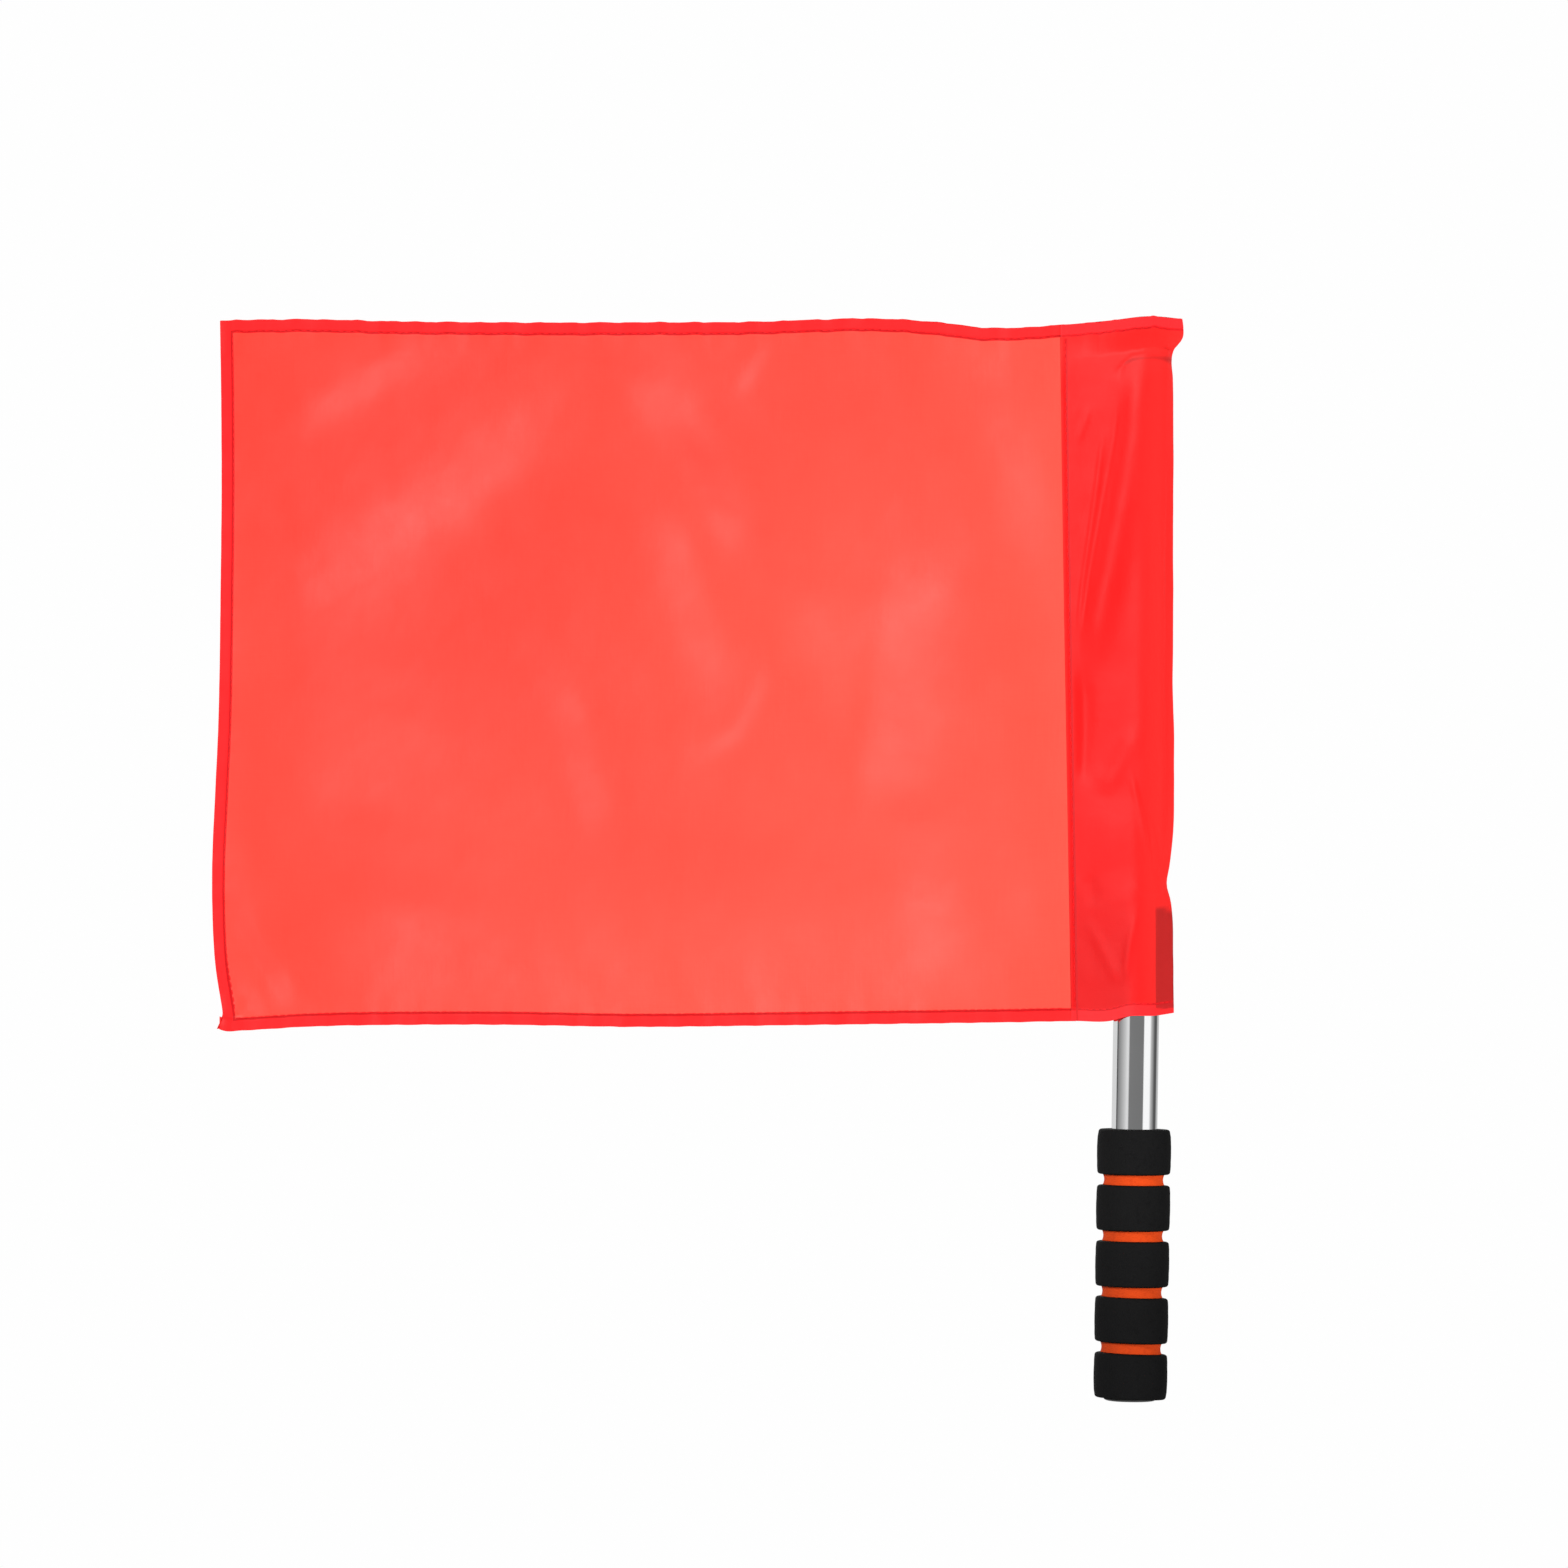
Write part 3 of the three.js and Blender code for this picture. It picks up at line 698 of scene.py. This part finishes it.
def weld(made):
    """Joins the points that meet on the axis."""
    distance = 1e-6
    tool = bmesh.new()
    tool.from_mesh(made.data)
    bmesh.ops.remove_doubles(tool, verts=tool.verts, dist=distance)
    bmesh.ops.dissolve_degenerate(tool, edges=tool.edges, dist=distance)
    tool.to_mesh(made.data)
    tool.free()


def corner(radius, height, size, start, end, steps):
    """Points of a rounded corner. Angles are in degrees."""
    turn = np.radians(np.linspace(start, end, steps))
    return [(radius + size * math.cos(a), height + size * math.sin(a)) for a in turn]


WALL, LIP = 0.6, 0.2  # the tube's wall, and the rounding of its ends
outer, inner = TUBE_RADIUS, TUBE_RADIUS - WALL
tube_points = [(inner, TUBE_BOTTOM), (outer - LIP, TUBE_BOTTOM)]
tube_points += corner(outer - LIP, TUBE_BOTTOM + LIP, LIP, -90, 0, 4)
tube_points += [(outer, z) for z in np.linspace(TUBE_BOTTOM + 5, TUBE_TOP - 5, 40)]
tube_points += corner(outer - LIP, TUBE_TOP - LIP, LIP, 0, 90, 4)
tube_points += [(inner, TUBE_TOP)]
tube = lathe("polished_tube", tube_points, 160)

# Both plugs have a hollow spigot that fits in the tube.
BORE, FIT, DEPTH = 7.1, 8.75, 12
seat = TUBE_TOP + 0.1
plug_points = [(BORE, TUBE_TOP - DEPTH), (FIT, TUBE_TOP - DEPTH), (FIT, seat), (9.4, seat)]
plug_points += corner(8.9, PLUG_TOP - 0.6, 0.6, 0, 90, 6)
plug_points += [(6, PLUG_TOP), (3, PLUG_TOP - 0.05), (0, PLUG_TOP - 0.05), (0, seat), (BORE, seat)]
top_plug = lathe("top_plug", plug_points, 96)

CAP_RADIUS, CAP_BOTTOM = CAP_HIGH[0], CAP_LOW[2]
seat = TUBE_BOTTOM - 0.1
dome = [(0, 0), (3, 0), (6.6, 0), (8.4, 0.1), (9.7, 0.3), (10.5, 0.62), (CAP_RADIUS, 0.95)]
cap_points = [(radius, CAP_BOTTOM + rise) for radius, rise in dome] + [(CAP_RADIUS, seat), (FIT, seat)]
cap_points += [(FIT, TUBE_BOTTOM + DEPTH), (BORE, TUBE_BOTTOM + DEPTH), (BORE, seat), (0, seat)]
end_cap = lathe("end_cap", cap_points, 96)


def foam_shape(seed, tilt, dent):
    """Foam that isn't quite round or straight: it leans, and its skin is a little uneven."""
    def shape(points):
        out = points.copy()
        radius = np.hypot(out[..., 0], out[..., 1])
        angle = np.arctan2(out[..., 1], out[..., 0])
        skin = smoothstep(radius, TUBE_RADIUS + 0.4, TUBE_RADIUS + 2.5)
        wave = np.sin(2 * angle + seed) * 0.5 + np.sin(3 * angle + 2.3 * seed + out[..., 2] / 7) * 0.3
        wave += np.sin(7 * angle + seed * 3.1 + out[..., 2] / 2.9) * 0.12
        grow = 1 - skin * (dent * wave + dent) / np.maximum(radius, 1)
        out[..., 0] *= grow
        out[..., 1] *= grow
        out[..., 2] -= skin * tilt * points[..., 0]
        return out
    return shape


FOAM_BORE = TUBE_RADIUS + 0.12


def ring_profile(low, high, radius, shoulder_low, shoulder_high):
    """A ring's section. Its shoulders are how far it narrows towards its lower and upper end."""
    bore, size = FOAM_BORE, 1.15
    points = [(bore, low), (bore + 1.5, low), (radius - 3.4, low + 0.02), (radius - size - 0.5, low + 0.12)]
    points += corner(radius - size - shoulder_low, low + size + 0.1, size, -80, -8, 7)
    points += [(radius - shoulder_low * 0.35, low + 3.2), (radius - 0.08, low + 5.5)]
    points += [(radius, z) for z in np.linspace(low + 7.5, high - 7.5, 4)]
    points += [(radius - 0.08, high - 5.5), (radius - shoulder_high * 0.35, high - 3.2)]
    points += corner(radius - size - shoulder_high, high - size - 0.1, size, 8, 80, 7)
    points += [(radius - size - 0.5, high - 0.12), (radius - 3.4, high - 0.02)]
    return points + [(bore + 1.5, high), (bore, high)]


TILTS = [0.026, 0.026, 0.006, 0.0, 0.0]  # how far each ring leans, as a slope, from the lowest up
rings = []
for i, (low, high) in enumerate(RINGS):
    top = 0.55 if i == 4 else 0.25
    bottom = 0.5 if i == 0 else 0.25
    profile = ring_profile(low[2], high[2], high[0], bottom, top)
    rings.append(lathe(f"foam_ring_{i + 1}", profile, 144, foam_shape(i + 1.3, TILTS[i], 0.07)))

bands = []
for i, (low, high) in enumerate(BANDS):
    waist, heights = 0.55, np.linspace(low[2], high[2], 11)
    inset = [waist * math.cos(math.pi * (t - 0.5)) ** 0.8 for t in np.linspace(0, 1, 11)]
    side = [(high[0] - depth, z) for depth, z in zip(inset, heights)]
    profile = [(FOAM_BORE, low[2])] + side + [(FOAM_BORE, high[2])]
    shape = foam_shape(i + 5.7, (TILTS[i] + TILTS[i + 1]) / 2, 0.04)
    bands.append(lathe(f"foam_band_{i + 1}", profile, 120, shape))


# ---- Hook-and-loop tape ----

def strip_faces(rows, half):
    """The faces of a solid strip: rows of 2 * half points round its section, closed at both ends."""
    count = 2 * half
    faces = grid_faces(rows, count, wrap_columns=True)
    for first in (0, (rows - 1) * count):
        for k in range(half - 1):
            quad = (first + k, first + k + 1, first + count - 2 - k, first + count - 1 - k)
            faces.append(quad if first else quad[::-1])
    return faces


# The half on the tube goes round its side towards the sleeve's fold.
HOOK_LOW, HOOK_HIGH = node_box("hook_tape")
HOOK_RADIUS, HOOK_THICKNESS, HOOK_TRIM = 10.05, 0.48, 0.3
turns = np.linspace(0.98, -0.98, 26)
line = np.array([(HOOK_RADIUS * math.cos(a), HOOK_RADIUS * math.sin(a)) for a in turns])
ahead = np.gradient(line, axis=0)
ahead /= np.linalg.norm(ahead, axis=1, keepdims=True)
side = np.stack([-ahead[:, 1], ahead[:, 0]], 1) * -HOOK_THICKNESS
section = np.concatenate([line, (line + side)[::-1]])
heights = np.linspace(HOOK_LOW[2] + HOOK_TRIM, HOOK_HIGH[2] - HOOK_TRIM, 30)
hook_ring = np.stack([np.column_stack([section, np.full(len(section), z)]) for z in heights])
hook_tape = make_object("hook_strip", hook_ring.reshape(-1, 3), strip_faces(30, len(line)), smooth=False)

# The other half is sewn into the sleeve's fold, and follows it.
LOOP_TAPE_LOW, LOOP_TAPE_DEPTHS, LOOP_TAPE_EDGE = 6.4, (0.28, 0.78), 7.7
LOOP_TAPE_ROW = 20  # the row of the sleeve that says which of its columns are lined
low_tape, high_tape = (int(np.searchsorted(nominal, w)) for w in (LOOP_TAPE_LOW, TAPE_TOP))
lined = np.nonzero(loop[LOOP_TAPE_ROW, :, 0] > LOOP_TAPE_EDGE)[0]
near_tape, far_tape = (loop[low_tape:high_tape + 1, lined] for _ in LOOP_TAPE_DEPTHS)
for layer, depth in zip((near_tape, far_tape), LOOP_TAPE_DEPTHS):
    layer[..., :2] -= depth * loop_out[low_tape:high_tape + 1, lined]
tape_ring = np.concatenate([near_tape, far_tape[:, ::-1]], 1)
tape_faces = strip_faces(len(tape_ring), len(lined))
loop_tape = make_object("loop_strip", to_row(tape_ring).reshape(-1, 3), tape_faces, smooth=False)


# ---- Materials ----

class Look:
    """A material's node tree, built by name."""

    def __init__(self, name):
        self.material = bpy.data.materials.new(name)
        self.material.use_nodes = True
        self.tree = self.material.node_tree
        self.tree.nodes.clear()
        self.output = self.tree.nodes.new("ShaderNodeOutputMaterial")

    def node(self, kind, **settings):
        made = self.tree.nodes.new("ShaderNode" + kind)
        inputs = settings.pop("inputs", {})
        for key, value in settings.items():
            setattr(made, key, value)
        for key, value in inputs.items():
            self.put(made.inputs[key], value)
        return made

    def put(self, socket, value):
        if isinstance(value, bpy.types.NodeSocket):
            self.tree.links.new(value, socket)
        else:
            socket.default_value = value

    def math(self, operation, a, b, clamp=False):
        made = self.node("Math", operation=operation, use_clamp=clamp)
        self.put(made.inputs[0], a)
        self.put(made.inputs[1], b)
        return made.outputs[0]

    def between(self, value, low, high, to_low=0.0, to_high=1.0):
        made = self.node("MapRange", interpolation_type="SMOOTHSTEP")
        names = ("Value", "From Min", "From Max", "To Min", "To Max")
        for key, setting in zip(names, (value, low, high, to_low, to_high)):
            self.put(made.inputs[key], setting)
        return made.outputs[0]

    def mix(self, share, a, b, kind="MIX"):
        made = self.node("Mix", data_type="RGBA", blend_type=kind)
        self.put(made.inputs[0], share)
        self.put(made.inputs[6], a)
        self.put(made.inputs[7], b)
        return made.outputs[2]

    def noise(self, vector, scale, detail, rough=0.5):
        inputs = {"Vector": vector, "Scale": scale, "Detail": detail, "Roughness": rough}
        return self.node("TexNoise", inputs=inputs).outputs[0]

    def mapped(self, vector, scale):
        return self.node("Mapping", inputs={"Vector": vector, "Scale": scale}).outputs[0]

    def cells(self, vector, scale):
        inputs = {"Vector": vector, "Scale": scale}
        return self.node("TexVoronoi", feature="F1", inputs=inputs).outputs["Distance"]

    def place(self):
        return self.node("TexCoord").outputs["Object"]

    def attribute(self, name):
        return self.node("Attribute", attribute_name=name).outputs["Fac"]

    def bump(self, height, distance, strength, normal=None):
        made = self.node("Bump", inputs={"Height": height, "Distance": distance, "Strength": strength})
        if normal is not None:
            self.put(made.inputs["Normal"], normal)
        return made.outputs[0]

    def finish(self, shader):
        self.tree.links.new(shader, self.output.inputs["Surface"])
        return self.material

    def over(self, colour, mask, strength, paint):
        return self.mix(self.math("MULTIPLY", mask, strength), colour, paint)

    def skin(self, inputs):
        """The finished material, all of one shader."""
        return self.finish(self.node("BsdfPrincipled", inputs=inputs).outputs[0])


def linear(red, green, blue):
    """A colour given as 0 to 255 screen values."""
    shares = (c / 255 for c in (red, green, blue))
    return tuple(c / 12.92 if c <= 0.04045 else ((c + 0.055) / 1.055) ** 2.4 for c in shares) + (1.0,)


def cloth_look():
    look = Look("red_cloth")
    flat = look.node("UVMap", uv_map="cloth").outputs[0]  # metres along the flat cloth and up it
    edge, seam, painted_shade_behind = look.attribute("edge_mm"), look.attribute("seam_mm"), look.attribute("painted_shade_behind")
    hem_share = look.between(edge, HEM + 0.15, HEM - 0.15)
    sleeve_share = look.between(seam, -0.15, 0.15)
    seam_band = look.math("MULTIPLY", look.between(seam, -2.3, -1.9), look.between(seam, 0.6, 0.2))
    along, up = look.node("SeparateXYZ", inputs={"Vector": flat}).outputs[:2]
    # Painted shade: the single cloth is darker to the left and towards the top, and lighter to the right and
    # lower down, for how the light falls across the panel.
    fade = look.math("SUBTRACT", look.between(along, -0.02, 0.42), look.between(up, -0.1, 0.5))
    fade = look.math("ADD", fade, look.noise(flat, 9.0, 3.0), clamp=True)
    single = look.mix(fade, linear(249, 49, 36), linear(252, 68, 53))
    # The sleeve's two walls and the folded hems are deeper red than the single panel. This is partly the
    # cloth's own colour where it lies in layers, and partly painted shade, as less light from behind comes
    # through more layers.
    double = look.mix(look.noise(flat, 14.0, 3.0), linear(212, 8, 8), linear(219, 13, 12))
    # The sleeve is darker towards its mouth. Painted light: near its head, above the tube's end where nothing
    # stands behind it, it is made lighter, as if more light came through.
    double = look.mix(look.between(up, 0.13, 0.02), double, linear(197, 7, 9))
    double = look.over(double, look.between(up, 0.268, 0.286), 0.7, linear(230, 32, 30))
    # Painted light: a lighter band down the sleeve on both walls near its fold, where the cloth turns away
    # from the main light.
    fold_painted_light = look.math("MULTIPLY", look.between(along, 0.430, 0.412), look.between(along, 0.378, 0.392))
    double = look.over(double, fold_painted_light, 0.85, linear(228, 31, 28))
    colour = look.mix(sleeve_share, single, double)
    colour = look.over(colour, hem_share, 0.92, linear(240, 30, 35))
    colour = look.over(colour, seam_band, 0.6, linear(238, 18, 22))
    # Painted shade where the tape and the plug's rim lie behind the cloth.
    colour = look.over(colour, painted_shade_behind, 0.7, linear(135, 22, 22))
    stitched = look.math("COMPARE", edge, THREAD_LINE + 0.15)
    stitched.node.inputs[2].default_value = 0.5
    along_seam = look.math("COMPARE", seam, 2.1)
    along_seam.node.inputs[2].default_value = 0.38
    along_seam = look.math("MULTIPLY", along_seam, look.math("LESS_THAN", up, 0.2885))
    stitched = look.math("MAXIMUM", stitched, along_seam)
    colour = look.over(colour, stitched, 0.92, linear(186, 12, 18))
    slub_across = look.noise(look.mapped(flat, (60, 2600, 1)), 1.0, 2.0, 0.6)
    slub_up = look.noise(look.mapped(flat, (2600, 60, 1)), 1.0, 2.0, 0.6)
    slubs = look.math("ADD", slub_across, slub_up)
    shade = look.between(slubs, 0.75, 1.25, 0.955, 1.03)
    shade_colour = look.node("CombineColor", inputs={"Red": 1.0, "Green": shade, "Blue": shade}).outputs[0]
    colour = look.mix(1.0, colour, shade_colour, "MULTIPLY")
    warp, weft = (
        look.node("TexWave", wave_type="BANDS", bands_direction=way, inputs={"Vector": flat, "Scale": 900.0})
        for way in "XY"
    )
    weave = look.math("ADD", warp.outputs["Fac"], weft.outputs["Fac"])
    normal = look.bump(weave, 0.00003, 0.35)
    normal = look.bump(slubs, 0.00006, 0.5, normal)
    wrinkle = look.noise(flat, 70.0, 3.0, 0.55)
    normal = look.bump(wrinkle, 0.0006, 0.5, normal)
    rough = look.between(look.noise(flat, 40.0, 3.0), 0.3, 0.7, 0.50, 0.57)
    gloss = look.between(look.math("MAXIMUM", hem_share, sleeve_share), 0.0, 1.0, 0.5, 0.19)
    skin = look.node("BsdfPrincipled", inputs={
        "Base Color": colour, "Roughness": rough, "Specular IOR Level": gloss, "Sheen Weight": 0.03,
        "Sheen Roughness": 0.45, "Normal": normal,
    })
    through = look.node("BsdfTranslucent", inputs={"Color": colour, "Normal": normal})
    thinness = look.between(sleeve_share, 0.0, 1.0, 0.34, 0.12)
    both = look.node("MixShader", inputs={0: thinness, 1: skin.outputs[0], 2: through.outputs[0]})
    return look.finish(both.outputs[0])


def thread_look():
    look = Look("red_thread")
    place = look.place()
    twist = look.node("TexWave", bands_direction="DIAGONAL", inputs={"Vector": place, "Scale": 1300.0})
    colour = look.mix(twist.outputs["Fac"], linear(192, 11, 17), linear(220, 20, 26))
    normal = look.bump(twist.outputs["Fac"], 0.00005, 0.6)
    return look.skin({"Base Color": colour, "Roughness": 0.5, "Specular IOR Level": 0.2, "Normal": normal})


def steel_look():
    look = Look("polished_steel")
    place = look.place()
    streaks = look.noise(look.mapped(place, (900, 900, 3)), 1.0, 3.0)
    smudge = look.noise(place, 60.0, 3.0)
    smudged, streaked = look.between(smudge, 0.4, 0.8, 0.055, 0.1), look.between(streaks, 0.3, 0.7, 0.0, 0.02)
    rough = look.math("ADD", smudged, streaked)
    tint = look.mix(smudge, (0.86, 0.865, 0.87, 1), (0.92, 0.925, 0.93, 1))
    normal = look.bump(streaks, 0.000004, 0.3)
    return look.skin({"Base Color": tint, "Metallic": 1.0, "Roughness": rough, "Normal": normal})


def foam_look(name, dark, light, pores):
    look = Look(name)
    place = look.place()
    cells = look.cells(place, 2300.0)
    coarse = look.noise(place, 420.0, 4.0, 0.6)
    blotch = look.noise(place, 90.0, 3.0)
    pitted = look.math("MULTIPLY", look.between(coarse, 0.28, 0.5), look.between(cells, 0.0, 0.45))
    pits, blotches = look.math("MULTIPLY", pitted, 0.6), look.math("MULTIPLY", blotch, 0.4)
    colour = look.mix(look.math("ADD", pits, blotches), dark, light)
    # Painted shade: the foam, black and orange, is made darker towards the grip's lower end, for how the
    # light falls on it.
    height = look.node("SeparateXYZ", inputs={"Vector": place}).outputs[2]
    lower_shade = look.between(height, 0.05, -0.05, 1.1, 0.8)
    shade_tone = look.node("CombineColor", inputs=dict.fromkeys(("Red", "Green", "Blue"), lower_shade)).outputs[0]
    colour = look.mix(1.0, colour, shade_tone, "MULTIPLY")
    normal = look.bump(pitted, 0.00012, pores)
    normal = look.bump(blotch, 0.0004, 0.35, normal)
    rough = look.between(coarse, 0.3, 0.7, 0.82, 0.95)
    return look.skin({"Base Color": colour, "Roughness": rough, "Specular IOR Level": 0.07, "Normal": normal})


def plastic_look():
    look = Look("black_plastic")
    place = look.place()
    grain = look.noise(place, 1500.0, 3.0, 0.6)
    wear = look.noise(place, 120.0, 3.0)
    colour = look.mix(wear, (0.010, 0.010, 0.010, 1), (0.018, 0.018, 0.018, 1))
    rough = look.between(wear, 0.3, 0.7, 0.42, 0.58)
    return look.skin({"Base Color": colour, "Roughness": rough, "Normal": look.bump(grain, 0.00004, 0.5)})


def tape_look():
    look = Look("black_tape")
    place = look.place()
    fuzz = look.cells(place, 1500.0)
    colour = look.mix(fuzz, (0.006, 0.006, 0.007, 1), (0.03, 0.03, 0.032, 1))
    return look.skin({"Base Color": colour, "Roughness": 0.9, "Normal": look.bump(fuzz, 0.0003, 0.8)})


def dress(pieces, material):
    for made in pieces:
        made.data.materials.append(material)


stitches = [top_stitches, low_stitches, fly_stitches, seam_stitches, sleeve_top_stitches, mouth_stitches]
dress([flag_cloth], cloth_look())
dress(stitches, thread_look())
dress([tube], steel_look())
dress([top_plug, end_cap], plastic_look())
dress([hook_tape, loop_tape], tape_look())
dress(rings, foam_look("black_foam", (0.0030, 0.0030, 0.0031, 1), (0.0054, 0.0054, 0.0055, 1), 0.6))
dress(bands, foam_look("orange_foam", linear(168, 50, 13), linear(185, 61, 19), 0.5))


# ---- What rides on what ----

def hinge_point(inwards):
    """A point on the line across the hinge at mid height, so far from the seam into the panel."""
    return tuple(to_row([SEAM(144) - inwards, 0, 144 - 0.0155 * inwards]) / 1000)


for made in [flag_cloth, top_stitches, low_stitches, fly_stitches, seam_stitches]:
    hinge_point(0.0)
    hinge_point(34.0)
    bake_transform(made)
for made in [sleeve_top_stitches, mouth_stitches, loop_tape]:
    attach(made, "sleeve")
for made in [tube, top_plug, end_cap, hook_tape, *rings, *bands]:
    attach(made, "pole")

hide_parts("flag_panel", "sleeve_cloth")
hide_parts("top_hem_thread")
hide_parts("bottom_hem_thread")
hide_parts("fly_hem_thread")
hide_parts("sleeve_seam_thread")
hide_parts("sleeve_top_thread")
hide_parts("sleeve_mouth_thread")
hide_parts("pole_tube")
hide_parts("tube_top_plug")
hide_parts("grip_end_cap")
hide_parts("hook_tape")
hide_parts("loop_tape")
for i, made in enumerate(rings):
    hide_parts(f"grip_ring_{i + 1}")
for i, made in enumerate(bands):
    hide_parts(f"grip_band_{i + 1}")


# ---- Floor, light and camera ----

FLOOR_RADIUS, FLOOR_LEVEL = 3000, -420
ring = np.linspace(0, 2 * math.pi, 97)[:-1]
floor_points = [(FLOOR_RADIUS * math.cos(a) - 150, FLOOR_RADIUS * math.sin(a), FLOOR_LEVEL) for a in ring]
floor = make_object("floor", floor_points, [tuple(range(len(ring)))], smooth=False)
dress([floor], Look("floor_paper").skin({"Base Color": (0.78, 0.78, 0.78, 1), "Roughness": 0.9}))


def studio_wall():
    """A round wall and bowl of bright and dark studio, which only mirrors see. Its stops are (degrees to the
    camera's right, brightness)."""
    columns = 180
    angles = np.linspace(0, 2 * math.pi, columns + 1)[:-1]
    rows = ((150, -416), (1450, -300), (1450, 1500))
    points = [(radius * math.sin(a), -radius * math.cos(a), z) for radius, z in rows for a in angles]
    faces = grid_faces(len(rows), columns, wrap_columns=True, flip=True)
    wall = make_object("studio_wall", points, faces)
    look = Look("studio_wall_light")
    place = look.place()
    parts = look.node("SeparateXYZ", inputs={"Vector": place})
    angle = look.math("ARCTAN2", parts.outputs[0], look.math("MULTIPLY", parts.outputs[1], -1.0))
    share = look.math("ADD", look.math("MULTIPLY", angle, 0.5 / math.pi), 0.5)
    ramp = look.node("ValToRGB", inputs={"Fac": share})
    stops = [
        (-180, 0.72), (-110, 0.72), (-107, 0.06), (-102, 0.06), (-99, 0.22), (-75, 0.40), (-56, 0.58),
        (-43, 0.76), (-36, 0.74), (-32, 0.20), (38, 0.19), (42, 1.04), (74, 1.04), (84, 0.5), (108, 0.10),
        (124, 0.10), (136, 0.5), (180, 0.72),
    ]
    elements = ramp.color_ramp.elements
    while len(elements) < len(stops):
        elements.new(0.5)
    for element, (degrees, value) in zip(elements, stops):
        element.position = degrees / 360 + 0.5
        element.color = (value, value, value, 1)
    shader = look.node("Emission", inputs={"Color": ramp.outputs[0], "Strength": 1.0})
    wall.data.materials.append(look.finish(shader.outputs[0]))
    wall.visible_camera = False
    wall.visible_diffuse = False
    wall.visible_transmission = False
    wall.visible_shadow = False
    return wall


wall = studio_wall()


def soft_light(name, place, target, size, power):
    lamp = bpy.data.lights.new(name, "AREA")
    lamp.shape = "DISK"
    lamp.size = size
    lamp.energy = power
    made = bpy.data.objects.new(name, lamp)
    made.location = place
    made.rotation_mode = "QUATERNION"
    made.rotation_quaternion = (Vector(target) - Vector(place)).to_track_quat("-Z", "Y")
    made.visible_camera = False
    bpy.context.scene.collection.objects.link(made)
    return made


MIDDLE = (-0.15, 0.0, 0.2)
soft_light("key", (-2.5, -3.1, 1.65), MIDDLE, 0.8, 176)
soft_light("front", (2.9, -2.7, 0.3), MIDDLE, 1.6, 165).visible_glossy = False
soft_light("behind", (-0.6, 2.6, 1.2), MIDDLE, 2.0, 34)

world = bpy.data.worlds.new("studio")
bpy.context.scene.world = world
world.use_nodes = True
tree = world.node_tree
tree.nodes.clear()
ray = tree.nodes.new("ShaderNodeLightPath")
choose = tree.nodes.new("ShaderNodeMixShader")
tree.links.new(ray.outputs["Is Camera Ray"], choose.inputs[0])
for socket, grey in ((1, 0.34), (2, 0.992)):  # what lights the flag, and what the camera sees
    sky = tree.nodes.new("ShaderNodeBackground")
    sky.inputs["Color"].default_value = (grey, grey, grey, 1)
    tree.links.new(sky.outputs[0], choose.inputs[socket])
tree.links.new(choose.outputs[0], tree.nodes.new("ShaderNodeOutputWorld").inputs["Surface"])

# The camera looks squarely at the flag, upright with it and not with the tube.
camera = bpy.data.cameras.new("camera")
camera.lens = 229.5
camera.sensor_width = 36
camera.clip_end = 60
view = bpy.data.objects.new("camera", camera)
bpy.context.scene.collection.objects.link(view)
view.location = (-0.1474, -4.14, 0.1963)
view.rotation_euler = (math.pi / 2, -LEAN, 0)
bpy.context.scene.camera = view
bpy.context.scene.view_settings.view_transform = "Standard"
bpy.context.scene.view_settings.look = "None"
